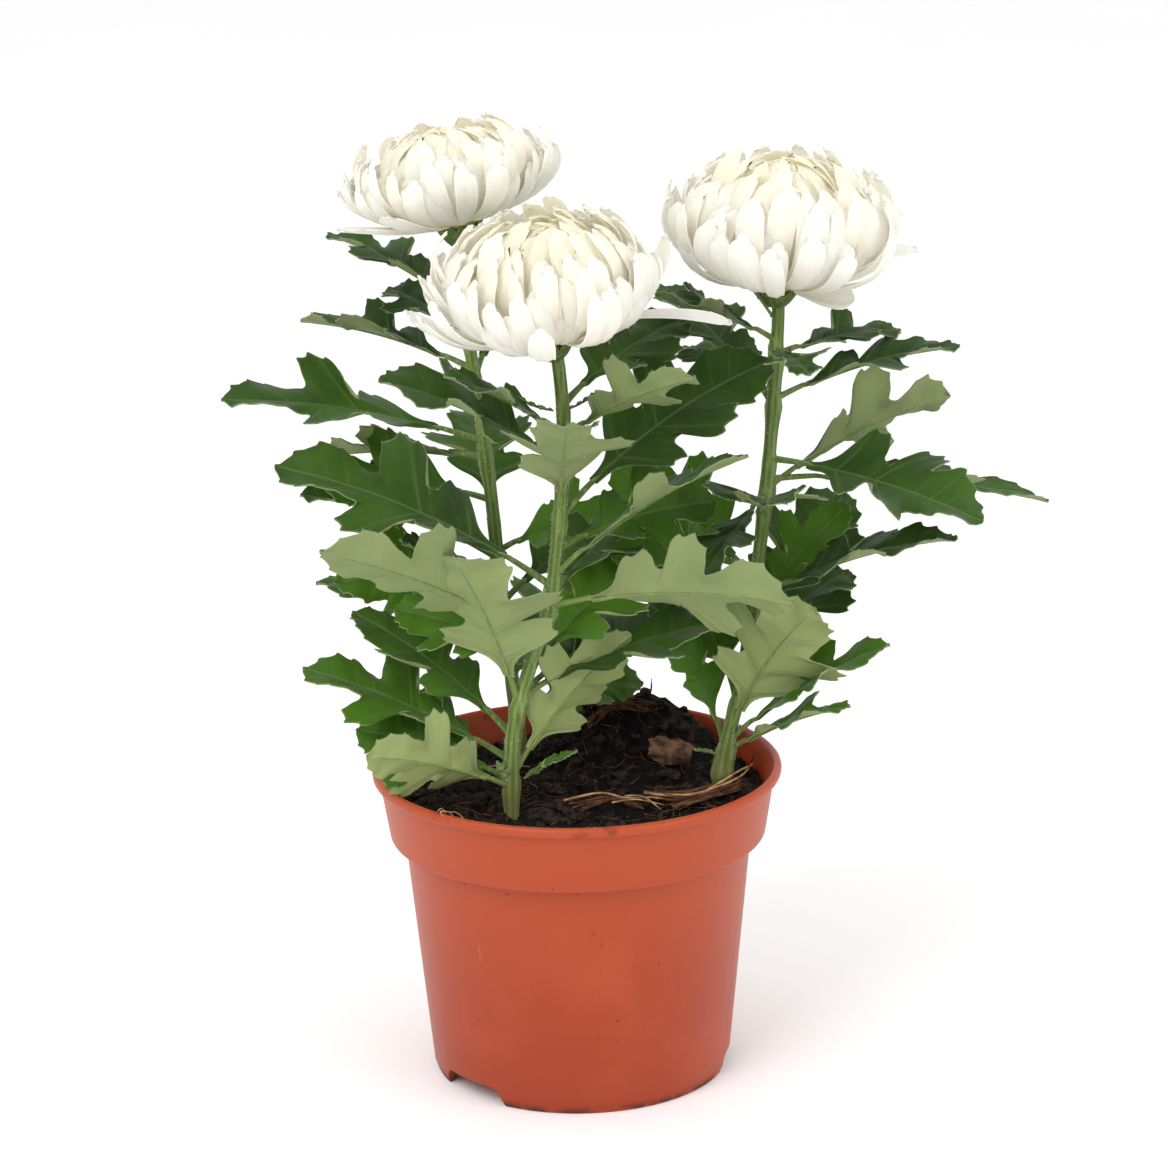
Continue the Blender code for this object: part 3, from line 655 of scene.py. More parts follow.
def gather(shapes: Iterable[bmesh.types.BMesh]) -> bmesh.types.BMesh:
    """Gathers many small shapes into one drawing, which stays quick as it grows.

    Args:
        shapes: The shapes, each of which is used up.

    Returns:
        The drawing.
    """
    whole = bmesh.new()
    for shape in shapes:
        mesh = bpy.data.meshes.new("part")
        shape.to_mesh(mesh)
        shape.free()
        whole.from_mesh(mesh, face_normals=False, vertex_normals=False)
        bpy.data.meshes.remove(mesh)
    return whole


@dataclass(frozen=True)
class Sheet:
    """A thin closed blade over a grid of rows from its foot to its tip and columns from edge to edge."""

    rows: tuple[float, ...]
    columns: tuple[float, ...]
    thickness: float

    def draw(
        self,
        point: Callable[[float, float], Vector],
        marks: dict[str, Callable[[float, float], float]],
    ) -> bmesh.types.BMesh:
        """Draws one blade.

        Args:
            point: Gives the place of a row and a column.
            marks: Numbers that the mesh carries, each as a function of row and column.

        Returns:
            The blade, closed, with the mark "under" at 1 on its lower face.
        """
        bm = bmesh.new()
        last_row = len(self.rows) - 1
        last_column = len(self.columns) - 1
        bmesh.ops.create_grid(bm, x_segments=last_row, y_segments=last_column, size=1.0)
        layers = {name: bm.verts.layers.float.new(name) for name in [*marks, "under"]}
        number = bm.verts.layers.int.new("number")
        for index, vert in enumerate(bm.verts):
            row = self.rows[round((vert.co.x + 1.0) / 2.0 * last_row)]
            column = self.columns[round((vert.co.y + 1.0) / 2.0 * last_column)]
            vert.co = point(row, column)
            vert[number] = index
            for name, mark in marks.items():
                vert[layers[name]] = mark(row, column)
        bm.normal_update()
        fall = [vert.normal * self.thickness for vert in bm.verts]
        made = bmesh.ops.extrude_face_region(bm, geom=bm.faces[:], use_keep_orig=True)
        for vert in made["geom"]:
            if isinstance(vert, bmesh.types.BMVert):
                vert.co = vert.co - fall[vert[number]]
                vert[layers["under"]] = 1.0
        bm.verts.layers.int.remove(bm.verts.layers.int["number"])
        bmesh.ops.recalc_face_normals(bm, faces=bm.faces[:])
        return bm


def draw_tube(
    point: Callable[[float, float], Vector],
    rings: int,
    sides: int,
    marks: dict[str, Callable[[float, float], float]] | None = None,
) -> bmesh.types.BMesh:
    """Draws a closed tube from a grid that is wrapped round and capped.

    Args:
        point: Gives the place for a share of the length and a turn round it in radians.
        rings: How many steps the length has.
        sides: How many sides the tube has.
        marks: Numbers that the mesh carries, each as a function of the share and the turn.

    Returns:
        The tube.
    """
    bm = bmesh.new()
    bmesh.ops.create_grid(bm, x_segments=rings, y_segments=sides, size=1.0)
    layers = {name: bm.verts.layers.float.new(name) for name in marks or {}}
    for vert in bm.verts:
        share = (vert.co.x + 1.0) / 2.0
        turn = (vert.co.y + 1.0) * math.pi
        vert.co = point(share, turn)
        for name, layer in layers.items():
            vert[layer] = marks[name](share, turn)
    bmesh.ops.remove_doubles(bm, verts=bm.verts[:], dist=SEAM)
    bmesh.ops.holes_fill(bm, edges=[edge for edge in bm.edges if edge.is_boundary], sides=0)
    bmesh.ops.recalc_face_normals(bm, faces=bm.faces[:])
    return bm


def strand(points: Sequence[Vector], radius: float, rings: int, sides: int) -> bmesh.types.BMesh:
    """Draws a thin round strand that tapers towards its tip.

    Args:
        points: What it runs through.
        radius: Its radius at the root.
        rings: How many steps its length has.
        sides: How many sides it has.

    Returns:
        The strand.
    """

    def place(share: float, turn: float) -> Vector:
        """The strand's skin."""
        here = smooth_point(points, share)
        facing = run_of(points, share).to_track_quat("Z", "Y")
        width = radius * (1.0 + (STRAND_TIP - 1.0) * share)
        return here + facing @ Vector((math.cos(turn) * width, math.sin(turn) * width, 0.0))

    return draw_tube(place, rings, sides)


def spin_profile(profile: Sequence[tuple[float, float]], steps: int) -> bmesh.types.BMesh:
    """A closed solid of revolution of a profile of (radius, height) whose ends lie on the axis."""
    bm = bmesh.new()
    verts = [bm.verts.new((radius, 0.0, height)) for radius, height in profile]
    edges = [bm.edges.new(pair) for pair in zip(verts, verts[1:])]
    bmesh.ops.spin(
        bm, geom=verts + edges, cent=(0, 0, 0), axis=(0, 0, 1), dvec=(0, 0, 0),
        angle=2 * math.pi, steps=steps, use_merge=True, use_duplicate=False,
    )
    bmesh.ops.remove_doubles(bm, verts=bm.verts[:], dist=SEAM)
    bmesh.ops.recalc_face_normals(bm, faces=bm.faces[:])
    return bm


@dataclass
class Pot:
    """A moulded plastic pot with a tapered body, a wider collar, a rolled lip and a notched foot."""

    height: float = 93.0
    lip_radius: float = 60.0
    collar_top: float = 57.9
    collar_foot: float = 55.2
    collar_height: float = 21.0
    body_top: float = 51.0
    foot: float = 43.8
    wall: float = 1.5
    step_rise: float = 0.8
    lip_height: float = 3.6
    floor_underside: float = 5.4
    floor_top: float = 7.0
    pressed_radius: float = 12.0
    pressed_slope: float = 2.5
    fillet: float = 1.8
    floor_corner: float = 0.2
    edge_radius: float = 0.45
    hard_angle: float = 28.0
    lip_section: tuple = (
        (-2.4, -0.9), (-2.0, -0.25), (-1.3, 0.0), (-0.6, -0.3),
        (-0.15, -0.9), (0.0, -1.8), (-0.15, -2.7), (-0.8, -3.3),
    )
    lip_drop: float = 0.2
    collar_rounding: tuple = (0.5, 0.6)
    belly: tuple = (0.3, 2.5)
    foot_rounding: float = 0.6
    steps: int = 168
    notch_headings: tuple = (222.0, -4.0, 107.0)
    notch_width: float = 28.0
    notch_height: float = 5.4
    notch_depth: float = 16.0
    notch_rounding: float = 2.2
    notch_top_share: float = 0.78
    drain_headings: tuple = (282.0, 42.0, 162.0)
    drain_radius: float = 4.0
    drain_distance: float = 30.0
    drain_cut: float = 12.0
    drain_sides: int = 32

    def step_height(self) -> float:
        """The height of the collar's foot."""
        return self.height - self.collar_height

    def profile(self) -> tuple[tuple[float, float], ...]:
        """The section as (radius, height), from the floor's middle out over the lip and back underneath."""
        step = self.step_height()
        lip = self.height - self.lip_height
        rounding, rounding_height = self.collar_rounding
        inside = self.foot - self.wall
        return (
            (0, self.wall),
            (self.pressed_radius, self.wall),
            (self.pressed_radius + self.pressed_slope, self.floor_top),
            (inside - self.fillet, self.floor_top),
            (inside + self.floor_corner, self.floor_top + self.fillet),
            (self.body_top - self.wall, step + self.wall),
            (self.collar_foot - self.wall, step + self.wall + self.step_rise),
            (self.collar_top - self.wall, lip),
            *((self.lip_radius + out, self.height + up) for out, up in self.lip_section),
            (self.collar_top, lip - self.lip_drop),
            (self.collar_foot, step + rounding_height),
            (self.collar_foot - rounding, step),
            (self.body_top, step),
            (self.foot + self.belly[0], self.belly[1]),
            (self.foot - self.foot_rounding, 0),
            (inside - self.foot_rounding, 0),
            (inside - self.foot_rounding, self.floor_underside),
            (self.pressed_radius + self.pressed_slope - self.wall / 2, self.floor_underside),
            (self.pressed_radius - self.wall / 2, 0),
            (0, 0),
        )

    def round_edges(self, bm: bmesh.types.BMesh) -> None:
        """Rounds the moulding's hard rings a little."""
        bm.normal_update()
        least = math.radians(self.hard_angle)
        rings = [
            edge
            for edge in bm.edges
            if abs(edge.verts[0].co.z - edge.verts[1].co.z) < SEAM
            and abs(edge.verts[0].co.xy.length - edge.verts[1].co.xy.length) < SEAM
            and edge.calc_face_angle(0.0) > least
        ]
        bmesh.ops.bevel(
            bm, geom=rings, offset=self.edge_radius, offset_type="OFFSET", segments=3,
            profile=0.5, affect="EDGES", clamp_overlap=True, material=-1,
        )

    def notch(self, heading: float) -> bmesh.types.BMesh:
        """A drain notch to be cut from the foot's ring: a block that widens downwards, with rounded ends."""
        bm = bmesh.new()
        bmesh.ops.create_cube(bm, size=1.0)
        bmesh.ops.scale(bm, vec=(self.notch_depth, self.notch_width, 2 * self.notch_height), verts=bm.verts)
        for vert in bm.verts:
            if vert.co.z > 0:
                vert.co.y *= self.notch_top_share
        corners = [
            edge
            for edge in bm.edges
            if all(vert.co.z > 0 for vert in edge.verts)
            and abs(edge.verts[0].co.y - edge.verts[1].co.y) < SEAM
        ]
        bmesh.ops.bevel(
            bm, geom=corners, offset=self.notch_rounding, offset_type="OFFSET", segments=5,
            profile=0.5, affect="EDGES", clamp_overlap=True, material=-1,
        )
        centre = on_circle(self.foot - self.wall, heading)
        turn = Matrix.Rotation(math.radians(heading), 4, "Z")
        bmesh.ops.transform(bm, matrix=Matrix.Translation(centre) @ turn, verts=bm.verts)
        return bm

    def drain(self, heading: float) -> bmesh.types.BMesh:
        """A round drain hole to be cut through the floor."""
        bm = bmesh.new()
        bmesh.ops.create_cone(
            bm, cap_ends=True, segments=self.drain_sides, depth=self.drain_cut,
            radius1=self.drain_radius, radius2=self.drain_radius,
            matrix=Matrix.Translation(on_circle(self.drain_distance, heading, self.floor_top)),
        )
        return bm

    def cut(self, bm: bmesh.types.BMesh) -> bmesh.types.BMesh:
        """Cuts the notches and drain holes.

        Args:
            bm: The whole pot, which is used up.

        Returns:
            The pot with its openings.
        """
        pot = plain_object(bm)
        cutters = [plain_object(self.notch(heading)) for heading in self.notch_headings]
        cutters += [plain_object(self.drain(heading)) for heading in self.drain_headings]
        for cutter in cutters:
            cut = pot.modifiers.new("cut", "BOOLEAN")
            cut.operation = "DIFFERENCE"
            cut.object = cutter
        graph = bpy.context.evaluated_depsgraph_get()
        mesh = bpy.data.meshes.new_from_object(pot.evaluated_get(graph))
        made = bmesh.new()
        made.from_mesh(mesh)
        for helper in [pot, *cutters]:
            bpy.data.objects.remove(helper, do_unlink=True)
        return made

    def build(self) -> None:
        """Builds and dresses the pot."""
        bm = spin_profile(self.profile(), self.steps)
        self.round_edges(bm)
        finish(self.cut(bm), "pot_shell", PotFinish().make(), Slot.POT, ["pot"], sharp=32.0)


def plain_object(bm: bmesh.types.BMesh) -> bpy.types.Object:
    """Puts a drawing into the scene as a helper, which is removed after use."""
    mesh = bpy.data.meshes.new("helper")
    bm.to_mesh(mesh)
    bm.free()
    helper = bpy.data.objects.new("helper", mesh)
    bpy.context.scene.collection.objects.link(helper)
    return helper


@dataclass
class Soil:
    """Peat that fills the pot to just under its lip, with lumps, fibres, roots and a chip of bark."""

    pot: Pot
    level: float = 85.0
    swell: float = 1.6
    swells: tuple = ((14.0, 1.0, 3.1), (6.0, 0.5, 7.7))
    tilt: float = 0.03
    gap: float = 0.3
    floor_gap: float = 1.0
    corner_height: float = 3.0
    corner_drop: float = 1.0
    collar_rise: float = 2.0
    shoulder: float = 5.0
    rim_radius: float = 44.0
    rim_width: float = 12.0
    rim_drop: float = 1.2
    mound_height: float = 13.5
    mound_centre: tuple = (18.0, 44.0)
    mound_spread: float = 27.0
    mound_edge: float = 56.0
    mound_edge_width: float = 5.0
    clod_size: float = 4.2
    clod_relief: float = 2.6
    clod_sink: float = 1.6
    grain_size: float = 0.9
    grain_relief: float = 0.4
    rough_edge_width: float = 2.0
    rings: int = 64
    steps: int = 150
    crumbs: int = 620
    crumb_sizes: tuple = (0.7, 1.9)
    lumps: int = 150
    lump_sizes: tuple = (1.8, 4.8)
    lumpiness: float = 0.85
    lump_waves: tuple = ((0.5, 1.0), (0.21, 0.55))
    lump_stretches: tuple = ((0.8, 1.3), (0.8, 1.3), (0.5, 0.9))
    lump_rise: float = 0.04
    lump_spin: float = 6.3
    lump_tilt: float = 0.6
    fibres: int = 150
    fibre_lengths: tuple = (4.0, 13.0)
    fibre_radii: tuple = (0.09, 0.2)
    fibre_steps: int = 3
    fibre_lifts: tuple = (0.1, 0.9)
    fibre_bend: float = 35.0
    fibre_edge: float = 52.0
    litter_edge: float = 54.0
    seed: int = 11

    def height(self, x: float, y: float) -> float:
        """The surface's height, with its mound and swells but without its crumbs."""
        swells = sum(part * noise.noise(Vector((x / size, y / size, z))) for size, part, z in self.swells)
        away = math.hypot(x - self.mound_centre[0], y - self.mound_centre[1]) / self.mound_spread
        distance = math.hypot(x, y)
        within = min(1.0, (self.mound_edge - distance) / self.mound_edge_width)
        mound = self.mound_height * math.exp(-away ** 3) * within
        rim = max(0.0, (distance - self.rim_radius) / self.rim_width)
        return self.level + self.swell * swells + mound + self.tilt * x - self.rim_drop * rim

    def rough_height(self, x: float, y: float) -> float:
        """The surface's height with its fine relief."""
        clods = noise.turbulence(Vector((x / self.clod_size, y / self.clod_size, 1.7)), 5, True)
        grain = noise.noise(Vector((x / self.grain_size, y / self.grain_size, 5.3)))
        fade = min(1.0, max(0.0, (self.mound_edge - math.hypot(x, y)) / self.rough_edge_width))
        relief = self.clod_relief * clods - self.clod_sink + self.grain_relief * grain
        return self.height(x, y) + fade * relief

    def edge(self, height: float) -> float:
        """The pot's inner radius at a height, less the soil's gap."""
        pot = self.pot
        step = pot.step_height() + pot.wall
        low, narrow = pot.floor_top + pot.fillet, pot.foot - pot.wall + pot.floor_corner
        high, wide = step, pot.body_top - pot.wall
        if height > step + pot.step_rise:
            low, narrow = step + pot.step_rise, pot.collar_foot - pot.wall
            high, wide = pot.height - pot.lip_height, pot.collar_top - pot.wall
        share = min(1.0, (height - low) / (high - low))
        return narrow + share * (wide - narrow) - 2 * self.gap

    def build_bed(self, material: bpy.types.Material) -> None:
        """Builds the bed of soil."""
        pot = self.pot
        step = pot.step_height() + pot.wall
        shoulder = self.level - self.shoulder
        floor = pot.floor_top + self.floor_gap
        edge = self.edge(shoulder)
        profile = [
            (0.0, floor),
            (self.edge(floor + self.corner_height) - self.floor_gap, floor),
            (self.edge(step - self.corner_drop) - self.gap, step),
            (self.edge(step + self.collar_rise), step + self.collar_rise),
            (edge, shoulder),
        ]
        profile += [(edge * (1.0 - ring / self.rings), self.level) for ring in range(self.rings)]
        profile.append((0.0, self.level))
        bm = spin_profile(profile, self.steps)
        for vert in bm.verts:
            if vert.co.z > self.level - 1.0:
                vert.co.z = self.rough_height(vert.co.x, vert.co.y)
        finish(bm, "soil_bed", material, Slot.SOIL, ["soil"], sharp=80.0)

    def spot(self, draw: random.Random, edge: float) -> tuple[float, float]:
        """A random place on the surface, within a radius."""
        radius = edge * math.sqrt(draw.random())
        place = on_circle(radius, draw.uniform(0, 360))
        return place.x, place.y

    def crumb(self, draw: random.Random, size: float, detail: int) -> bmesh.types.BMesh:
        """A lump of peat that lies half sunk in the surface."""
        bm = bmesh.new()
        bmesh.ops.create_icosphere(bm, subdivisions=detail, radius=size / 2)
        offset = Vector((draw.uniform(0, 90), draw.uniform(0, 90), draw.uniform(0, 90)))
        for vert in bm.verts:
            lumpy = 0.0
            for wave, part in self.lump_waves:
                lumpy += part * noise.noise(vert.co / (wave * size) + offset)
            vert.co *= 1.0 + self.lumpiness * lumpy
        x, y = self.spot(draw, self.litter_edge)
        stretch = [draw.uniform(*limits) for limits in self.lump_stretches]
        flat = Matrix.Diagonal((*stretch, 1.0))
        turn = Matrix.Rotation(draw.uniform(0, self.lump_spin), 4, "Z")
        turn = turn @ Matrix.Rotation(draw.uniform(-self.lump_tilt, self.lump_tilt), 4, "X")
        place = Matrix.Translation((x, y, self.rough_height(x, y) + self.lump_rise * size))
        bmesh.ops.transform(bm, matrix=place @ turn @ flat, verts=bm.verts)
        return bm

    def fibre(self, draw: random.Random) -> bmesh.types.BMesh:
        """A short curved fibre that lies on the surface."""
        x, y = self.spot(draw, self.fibre_edge)
        heading = draw.uniform(0, 360)
        length = draw.uniform(*self.fibre_lengths)
        points = []
        for _ in range(self.fibre_steps + 1):
            points.append(Vector((x, y, self.rough_height(x, y) + draw.uniform(*self.fibre_lifts))))
            heading += draw.uniform(-self.fibre_bend, self.fibre_bend)
            move = on_circle(length / self.fibre_steps, heading)
            x += move.x
            y += move.y
            if math.hypot(x, y) > self.litter_edge:
                x, y = 0.95 * x, 0.95 * y
        return strand(points, draw.uniform(*self.fibre_radii), 6, 4)

    def build_litter(self, peat: bpy.types.Material) -> None:
        """Builds the lumps and fibres on the surface."""
        draw = random.Random(self.seed)
        clods = [self.crumb(draw, draw.uniform(*self.lump_sizes), 2) for _ in range(self.lumps)]
        finish(gather(clods), "soil_clods", CLOD.make(), Slot.SOIL, sharp=60.0)
        crumbs = [self.crumb(draw, draw.uniform(*self.crumb_sizes), 1) for _ in range(self.crumbs)]
        finish(gather(crumbs), "soil_crumbs", peat, Slot.SOIL, sharp=60.0)
        fibres = [self.fibre(draw) for _ in range(self.fibres)]
        finish(gather(fibres), "soil_fibres", FIBRE.make(), Slot.SOIL)


@dataclass(frozen=True)
class Root:
    """A dry root that lies on the soil, through points (x, y, lift above the surface)."""

    points: tuple
    radius: float


@dataclass
class Litter:
    """The roots, sticks and the chip of bark that lie on the soil."""

    soil: Soil
    chip_size: tuple = (13.5, 10.5, 3.0)
    chip_place: tuple = (27.5, 15.0)
    chip_heading: float = 155.0
    chip_lift: float = 0.9
    chip_taper: float = 0.9
    chip_ragged: float = 0.3
    chip_thinning: float = 0.5
    flake_relief: tuple = (1.1, -0.6)
    roots: tuple = (
        Root(((-4, -17, 1.6), (6.5, -15, 2.2), (14, -17.5, 1.8), (21, -18.4, 2.0), (27, -17, 1.0)), 0.42),
        Root(
            (
                (19.7, -11.2, 1.4), (26, -16, 2.2), (32.5, -19, 2.4),
                (40, -13, 2.2), (47.7, -3.7, 2.8), (52, 9.7, 2.8),
            ),
            0.62,
        ),
        Root(((36, -17, 1.8), (42, -9, 3.2), (48.5, -1, 3.8), (51.5, 7, 2.4)), 0.46),
        Root(((10, -24, 1.6), (17, -22, 2.2), (25, -23, 1.6)), 0.30),
        Root(((14, -13, 1.0), (19, -20, 2.6), (24, -26, 1.0)), 0.36),
        Root(((-30, 18, 1.4), (-22, 14, 2.4), (-14, 17, 1.6)), 0.34),
    )
    rim_roots: tuple = (
        ((-36.0, -36.5, 86.5), (-37.6, -39.0, 91.0), (-38.4, -41.0, 93.3), (-39.6, -43.2, 93.2)),
        ((-33.5, -39.0, 87.0), (-36.0, -41.5, 92.0), (-38.6, -44.0, 93.5), (-38.0, -45.6, 92.6)),
        ((-30.0, -42.0, 87.0), (-33.5, -44.0, 92.6), (-36.5, -45.0, 93.6), (-38.5, -44.2, 93.3)),
        ((-50.2, 18, 84), (-53.4, 20, 88), (-54.0, 19, 91), (-54.6, 16, 92)),
        ((-47.5, 26, 84), (-49.6, 27.5, 88), (-49.5, 29, 91.5)),
    )
    bundles: tuple = (
        ((22, -13, 1.2), (31, -18, 1.8), (39, -13, 1.8), (46, -5, 2.2)),
        ((28, -24, 1.0), (37, -20, 1.4), (44, -12, 1.6), (48, -4, 1.4)),
        ((0, -22, 0.8), (9, -19, 1.2), (17, -23, 0.8)),
        ((4, 30, 0.8), (12, 34, 1.4), (22, 33, 0.8)),
    )
    bundle_strands: int = 12
    bundle_spread: float = 2.6
    bundle_radii: tuple = (0.14, 0.3)
    rim_root_radius: float = 0.26
    stick_radius: float = 0.4
    stick_sink: float = 1.5
    seed: int = 5
    sticks: tuple = (
        ((22, 46), (1.0, 0.5, 5.0)), ((37, 41), (2.0, -1.0, 4.2)),
        ((30, 44), (-2.0, 1.0, 3.0)), ((50, 12), (2.5, 3.0, 4.0)),
    )

    def build_chip(self) -> None:
        """Builds the flat chip of bark with its broken edges."""
        bm = bmesh.new()
        bmesh.ops.create_cube(bm, size=1.0)
        bmesh.ops.subdivide_edges(bm, edges=bm.edges[:], cuts=11, use_grid_fill=True)
        bmesh.ops.scale(bm, vec=self.chip_size, verts=bm.verts)
        for vert in bm.verts:
            across = vert.co.x / self.chip_size[0]
            ragged = self.chip_ragged * noise.noise(vert.co / 3)
            vert.co.y *= 1.0 - self.chip_taper * across * across + ragged
            vert.co.z *= 1.0 - self.chip_thinning * abs(across)
            flake = noise.turbulence(Vector((vert.co.x / 6, vert.co.y / 1.6, vert.co.z / 2)), 3, False)
            vert.co += vert.co.normalized() * (self.flake_relief[0] * flake + self.flake_relief[1])
        x, y = self.chip_place
        half = self.chip_size[0] / 2
        height = self.soil.height
        along = Vector((2 * half, 0, height(x + half, y) - height(x - half, y)))
        back = Vector((0, 2 * half, height(x, y + half) - height(x, y - half)))
        up = along.cross(back).normalized()
        centre = Vector((x, y, height(x, y))) + up * (self.chip_size[2] / 2 + self.chip_lift)
        lie = up.to_track_quat("Z", "Y").to_matrix().to_4x4()
        turn = lie @ Matrix.Rotation(math.radians(self.chip_heading), 4, "Z")
        bmesh.ops.transform(bm, matrix=Matrix.Translation(centre) @ turn, verts=bm.verts)
        bmesh.ops.recalc_face_normals(bm, faces=bm.faces[:])
        finish(bm, "bark_flake", BARK.make(), Slot.BARK, ["bark_chip"], sharp=40.0)

    def laid(
        self, route: Sequence[tuple], draw: random.Random | None = None, spread: float = 0.0
    ) -> list[Vector]:
        """Turns a route over the soil into places.

        Args:
            route: Its points, as x, y and the lift above the soil.
            draw: The random draw that moves each point about, if any.
            spread: How far the points are moved sideways at most.

        Returns:
            The places.
        """
        points = []
        for x, y, lift in route:
            if draw:
                x += draw.uniform(-spread, spread)
                y += draw.uniform(-spread, spread)
                lift += draw.uniform(-0.5, 0.9)
            points.append(Vector((x, y, self.soil.height(x, y) + lift)))
        return points

    def build_roots(self) -> None:
        """Builds the dry roots on the soil and over the pot's rim."""
        roots = [strand(self.laid(root.points), root.radius, 30, 8) for root in self.roots]
        for route in self.rim_roots:
            roots.append(strand([Vector(point) for point in route], self.rim_root_radius, 20, 6))
        finish(gather(roots), "dry_roots", ROOT.make(), Slot.FOLIAGE)

    def build_bundles(self) -> None:
        """Builds the tangles of rusty fibre."""
        draw = random.Random(self.seed)
        tangle = [
            strand(self.laid(route, draw, self.bundle_spread), draw.uniform(*self.bundle_radii), 12, 5)
            for route in self.bundles
            for _ in range(self.bundle_strands)
        ]
        finish(gather(tangle), "root_tangle", FIBRE.make(), Slot.SOIL)

    def build_sticks(self) -> None:
        """Builds the small dark sticks that stand out of the soil."""
        sticks = []
        for (x, y), lean in self.sticks:
            foot = Vector((x, y, self.soil.height(x, y) - self.stick_sink))
            top = foot + Vector(lean) + Vector((0, 0, self.stick_sink))
            middle = foot.lerp(top, 0.5) + Vector((0.4, 0.2, 0))
            sticks.append(strand([foot, middle, top], self.stick_radius, 8, 6))
        finish(gather(sticks), "soil_sticks", TWIG.make(), Slot.BARK)

    def build(self) -> None:
        """Builds all that lies on the soil."""
        self.build_chip()
        self.build_roots()
        self.build_bundles()
        self.build_sticks()


def arc_frame(
    root: Vector, heading: float, slope: float, droop: float, length: float, share: float
) -> tuple[Vector, Vector, Vector, Vector]:
    """The frame at a share of an arc that starts at a root and lies in an upright plane.

    Args:
        root: Where it starts.
        heading: The plane's heading.
        slope: The arc's mean slope, in degrees.
        droop: By how much the slope falls along it, in degrees.
        length: Its length.
        share: Where on it, from 0 to 1.

    Returns:
        The place there, and the tangent, side and normal.
    """
    start = math.radians(slope + droop / 2)
    fall = math.radians(droop) if abs(droop) > 0.1 else 0.002
    now = start - fall * share
    out = length * (math.sin(start) - math.sin(now)) / fall
    up = length * (math.cos(now) - math.cos(start)) / fall
    forward = on_circle(1.0, heading)
    side = on_circle(1.0, heading + 90)
    place = root + forward * out + Vector((0, 0, up))
    tangent = forward * math.cos(now) + Vector((0, 0, math.sin(now)))
    return place, tangent, side, tangent.cross(side)


@dataclass(frozen=True)
class Station:
    """A line across the leaf, from where it leaves the midrib (foot) to where it meets the edge (x, y)."""

    foot: float
    x: float
    y: float


@dataclass(frozen=True)
class LeafShape:
    """The build that all leaves share, with their outline's stations in shares of the blade's length."""

    outline: tuple = (
        (0.000, 0.000, 0.030), (0.050, 0.055, 0.034), (0.090, 0.112, 0.052), (0.110, 0.156, 0.094),
        (0.125, 0.190, 0.152), (0.138, 0.224, 0.206), (0.150, 0.256, 0.246), (0.158, 0.282, 0.258),
        (0.166, 0.296, 0.240), (0.180, 0.326, 0.244), (0.192, 0.350, 0.256), (0.205, 0.360, 0.228),
        (0.225, 0.368, 0.190), (0.250, 0.366, 0.150), (0.275, 0.370, 0.140), (0.300, 0.388, 0.136),
        (0.315, 0.414, 0.146), (0.326, 0.436, 0.200), (0.336, 0.454, 0.258), (0.346, 0.474, 0.314),
        (0.355, 0.500, 0.352), (0.364, 0.530, 0.372), (0.372, 0.540, 0.352), (0.384, 0.572, 0.364),
        (0.398, 0.612, 0.386), (0.410, 0.616, 0.350), (0.428, 0.638, 0.326), (0.442, 0.660, 0.314),
        (0.452, 0.648, 0.280), (0.475, 0.636, 0.228), (0.500, 0.618, 0.180), (0.530, 0.614, 0.166),
        (0.560, 0.630, 0.158), (0.600, 0.670, 0.168), (0.640, 0.714, 0.180), (0.672, 0.754, 0.204),
        (0.690, 0.788, 0.212), (0.704, 0.794, 0.190), (0.740, 0.834, 0.184), (0.768, 0.872, 0.186),
        (0.782, 0.876, 0.160), (0.830, 0.914, 0.126), (0.872, 0.952, 0.114), (0.886, 0.952, 0.092),
        (0.930, 0.970, 0.060), (0.970, 0.990, 0.030), (1.000, 1.000, 0.004),
    )
    spread: float = 1.1
    columns: tuple = (-1.0, -0.88, -0.7, -0.5, -0.3, -0.12, 0.0, 0.12, 0.3, 0.5, 0.7, 0.88, 1.0)
    petiole_share: float = 0.18
    petiole_radius: float = 1.15
    thickness: float = 0.38
    sink: float = 0.4
    wave: float = 12.0
    wave_turns: float = 13.0
    quilt: float = 0.75
    quilt_width: float = 0.10
    veins: tuple = (0.0, 0.165, 0.38, 0.69, 0.9)
    uneven: float = 0.16
    ripple: float = 1.0
    stalk_end: float = 0.93
    clasp: float = 0.9
    clasp_share: float = 0.03
    groove: float = 0.35

    def stations(self) -> tuple[Station, ...]:
        """The outline with a smooth station set between each two."""
        points = [Vector(numbers) for numbers in self.outline]
        last = len(points) - 1
        return tuple(Station(*smooth_point(points, index / (2 * last))) for index in range(2 * last + 1))

    def bulge(self, foot: float) -> float:
        """How far the blade swells between its side veins at a foot, from 0 to 1."""
        near = min(abs(foot - vein) for vein in self.veins)
        share = min(1.0, near / self.quilt_width)
        return share * share * (3.0 - 2.0 * share)


SHAPE = LeafShape()
STATIONS = SHAPE.stations()


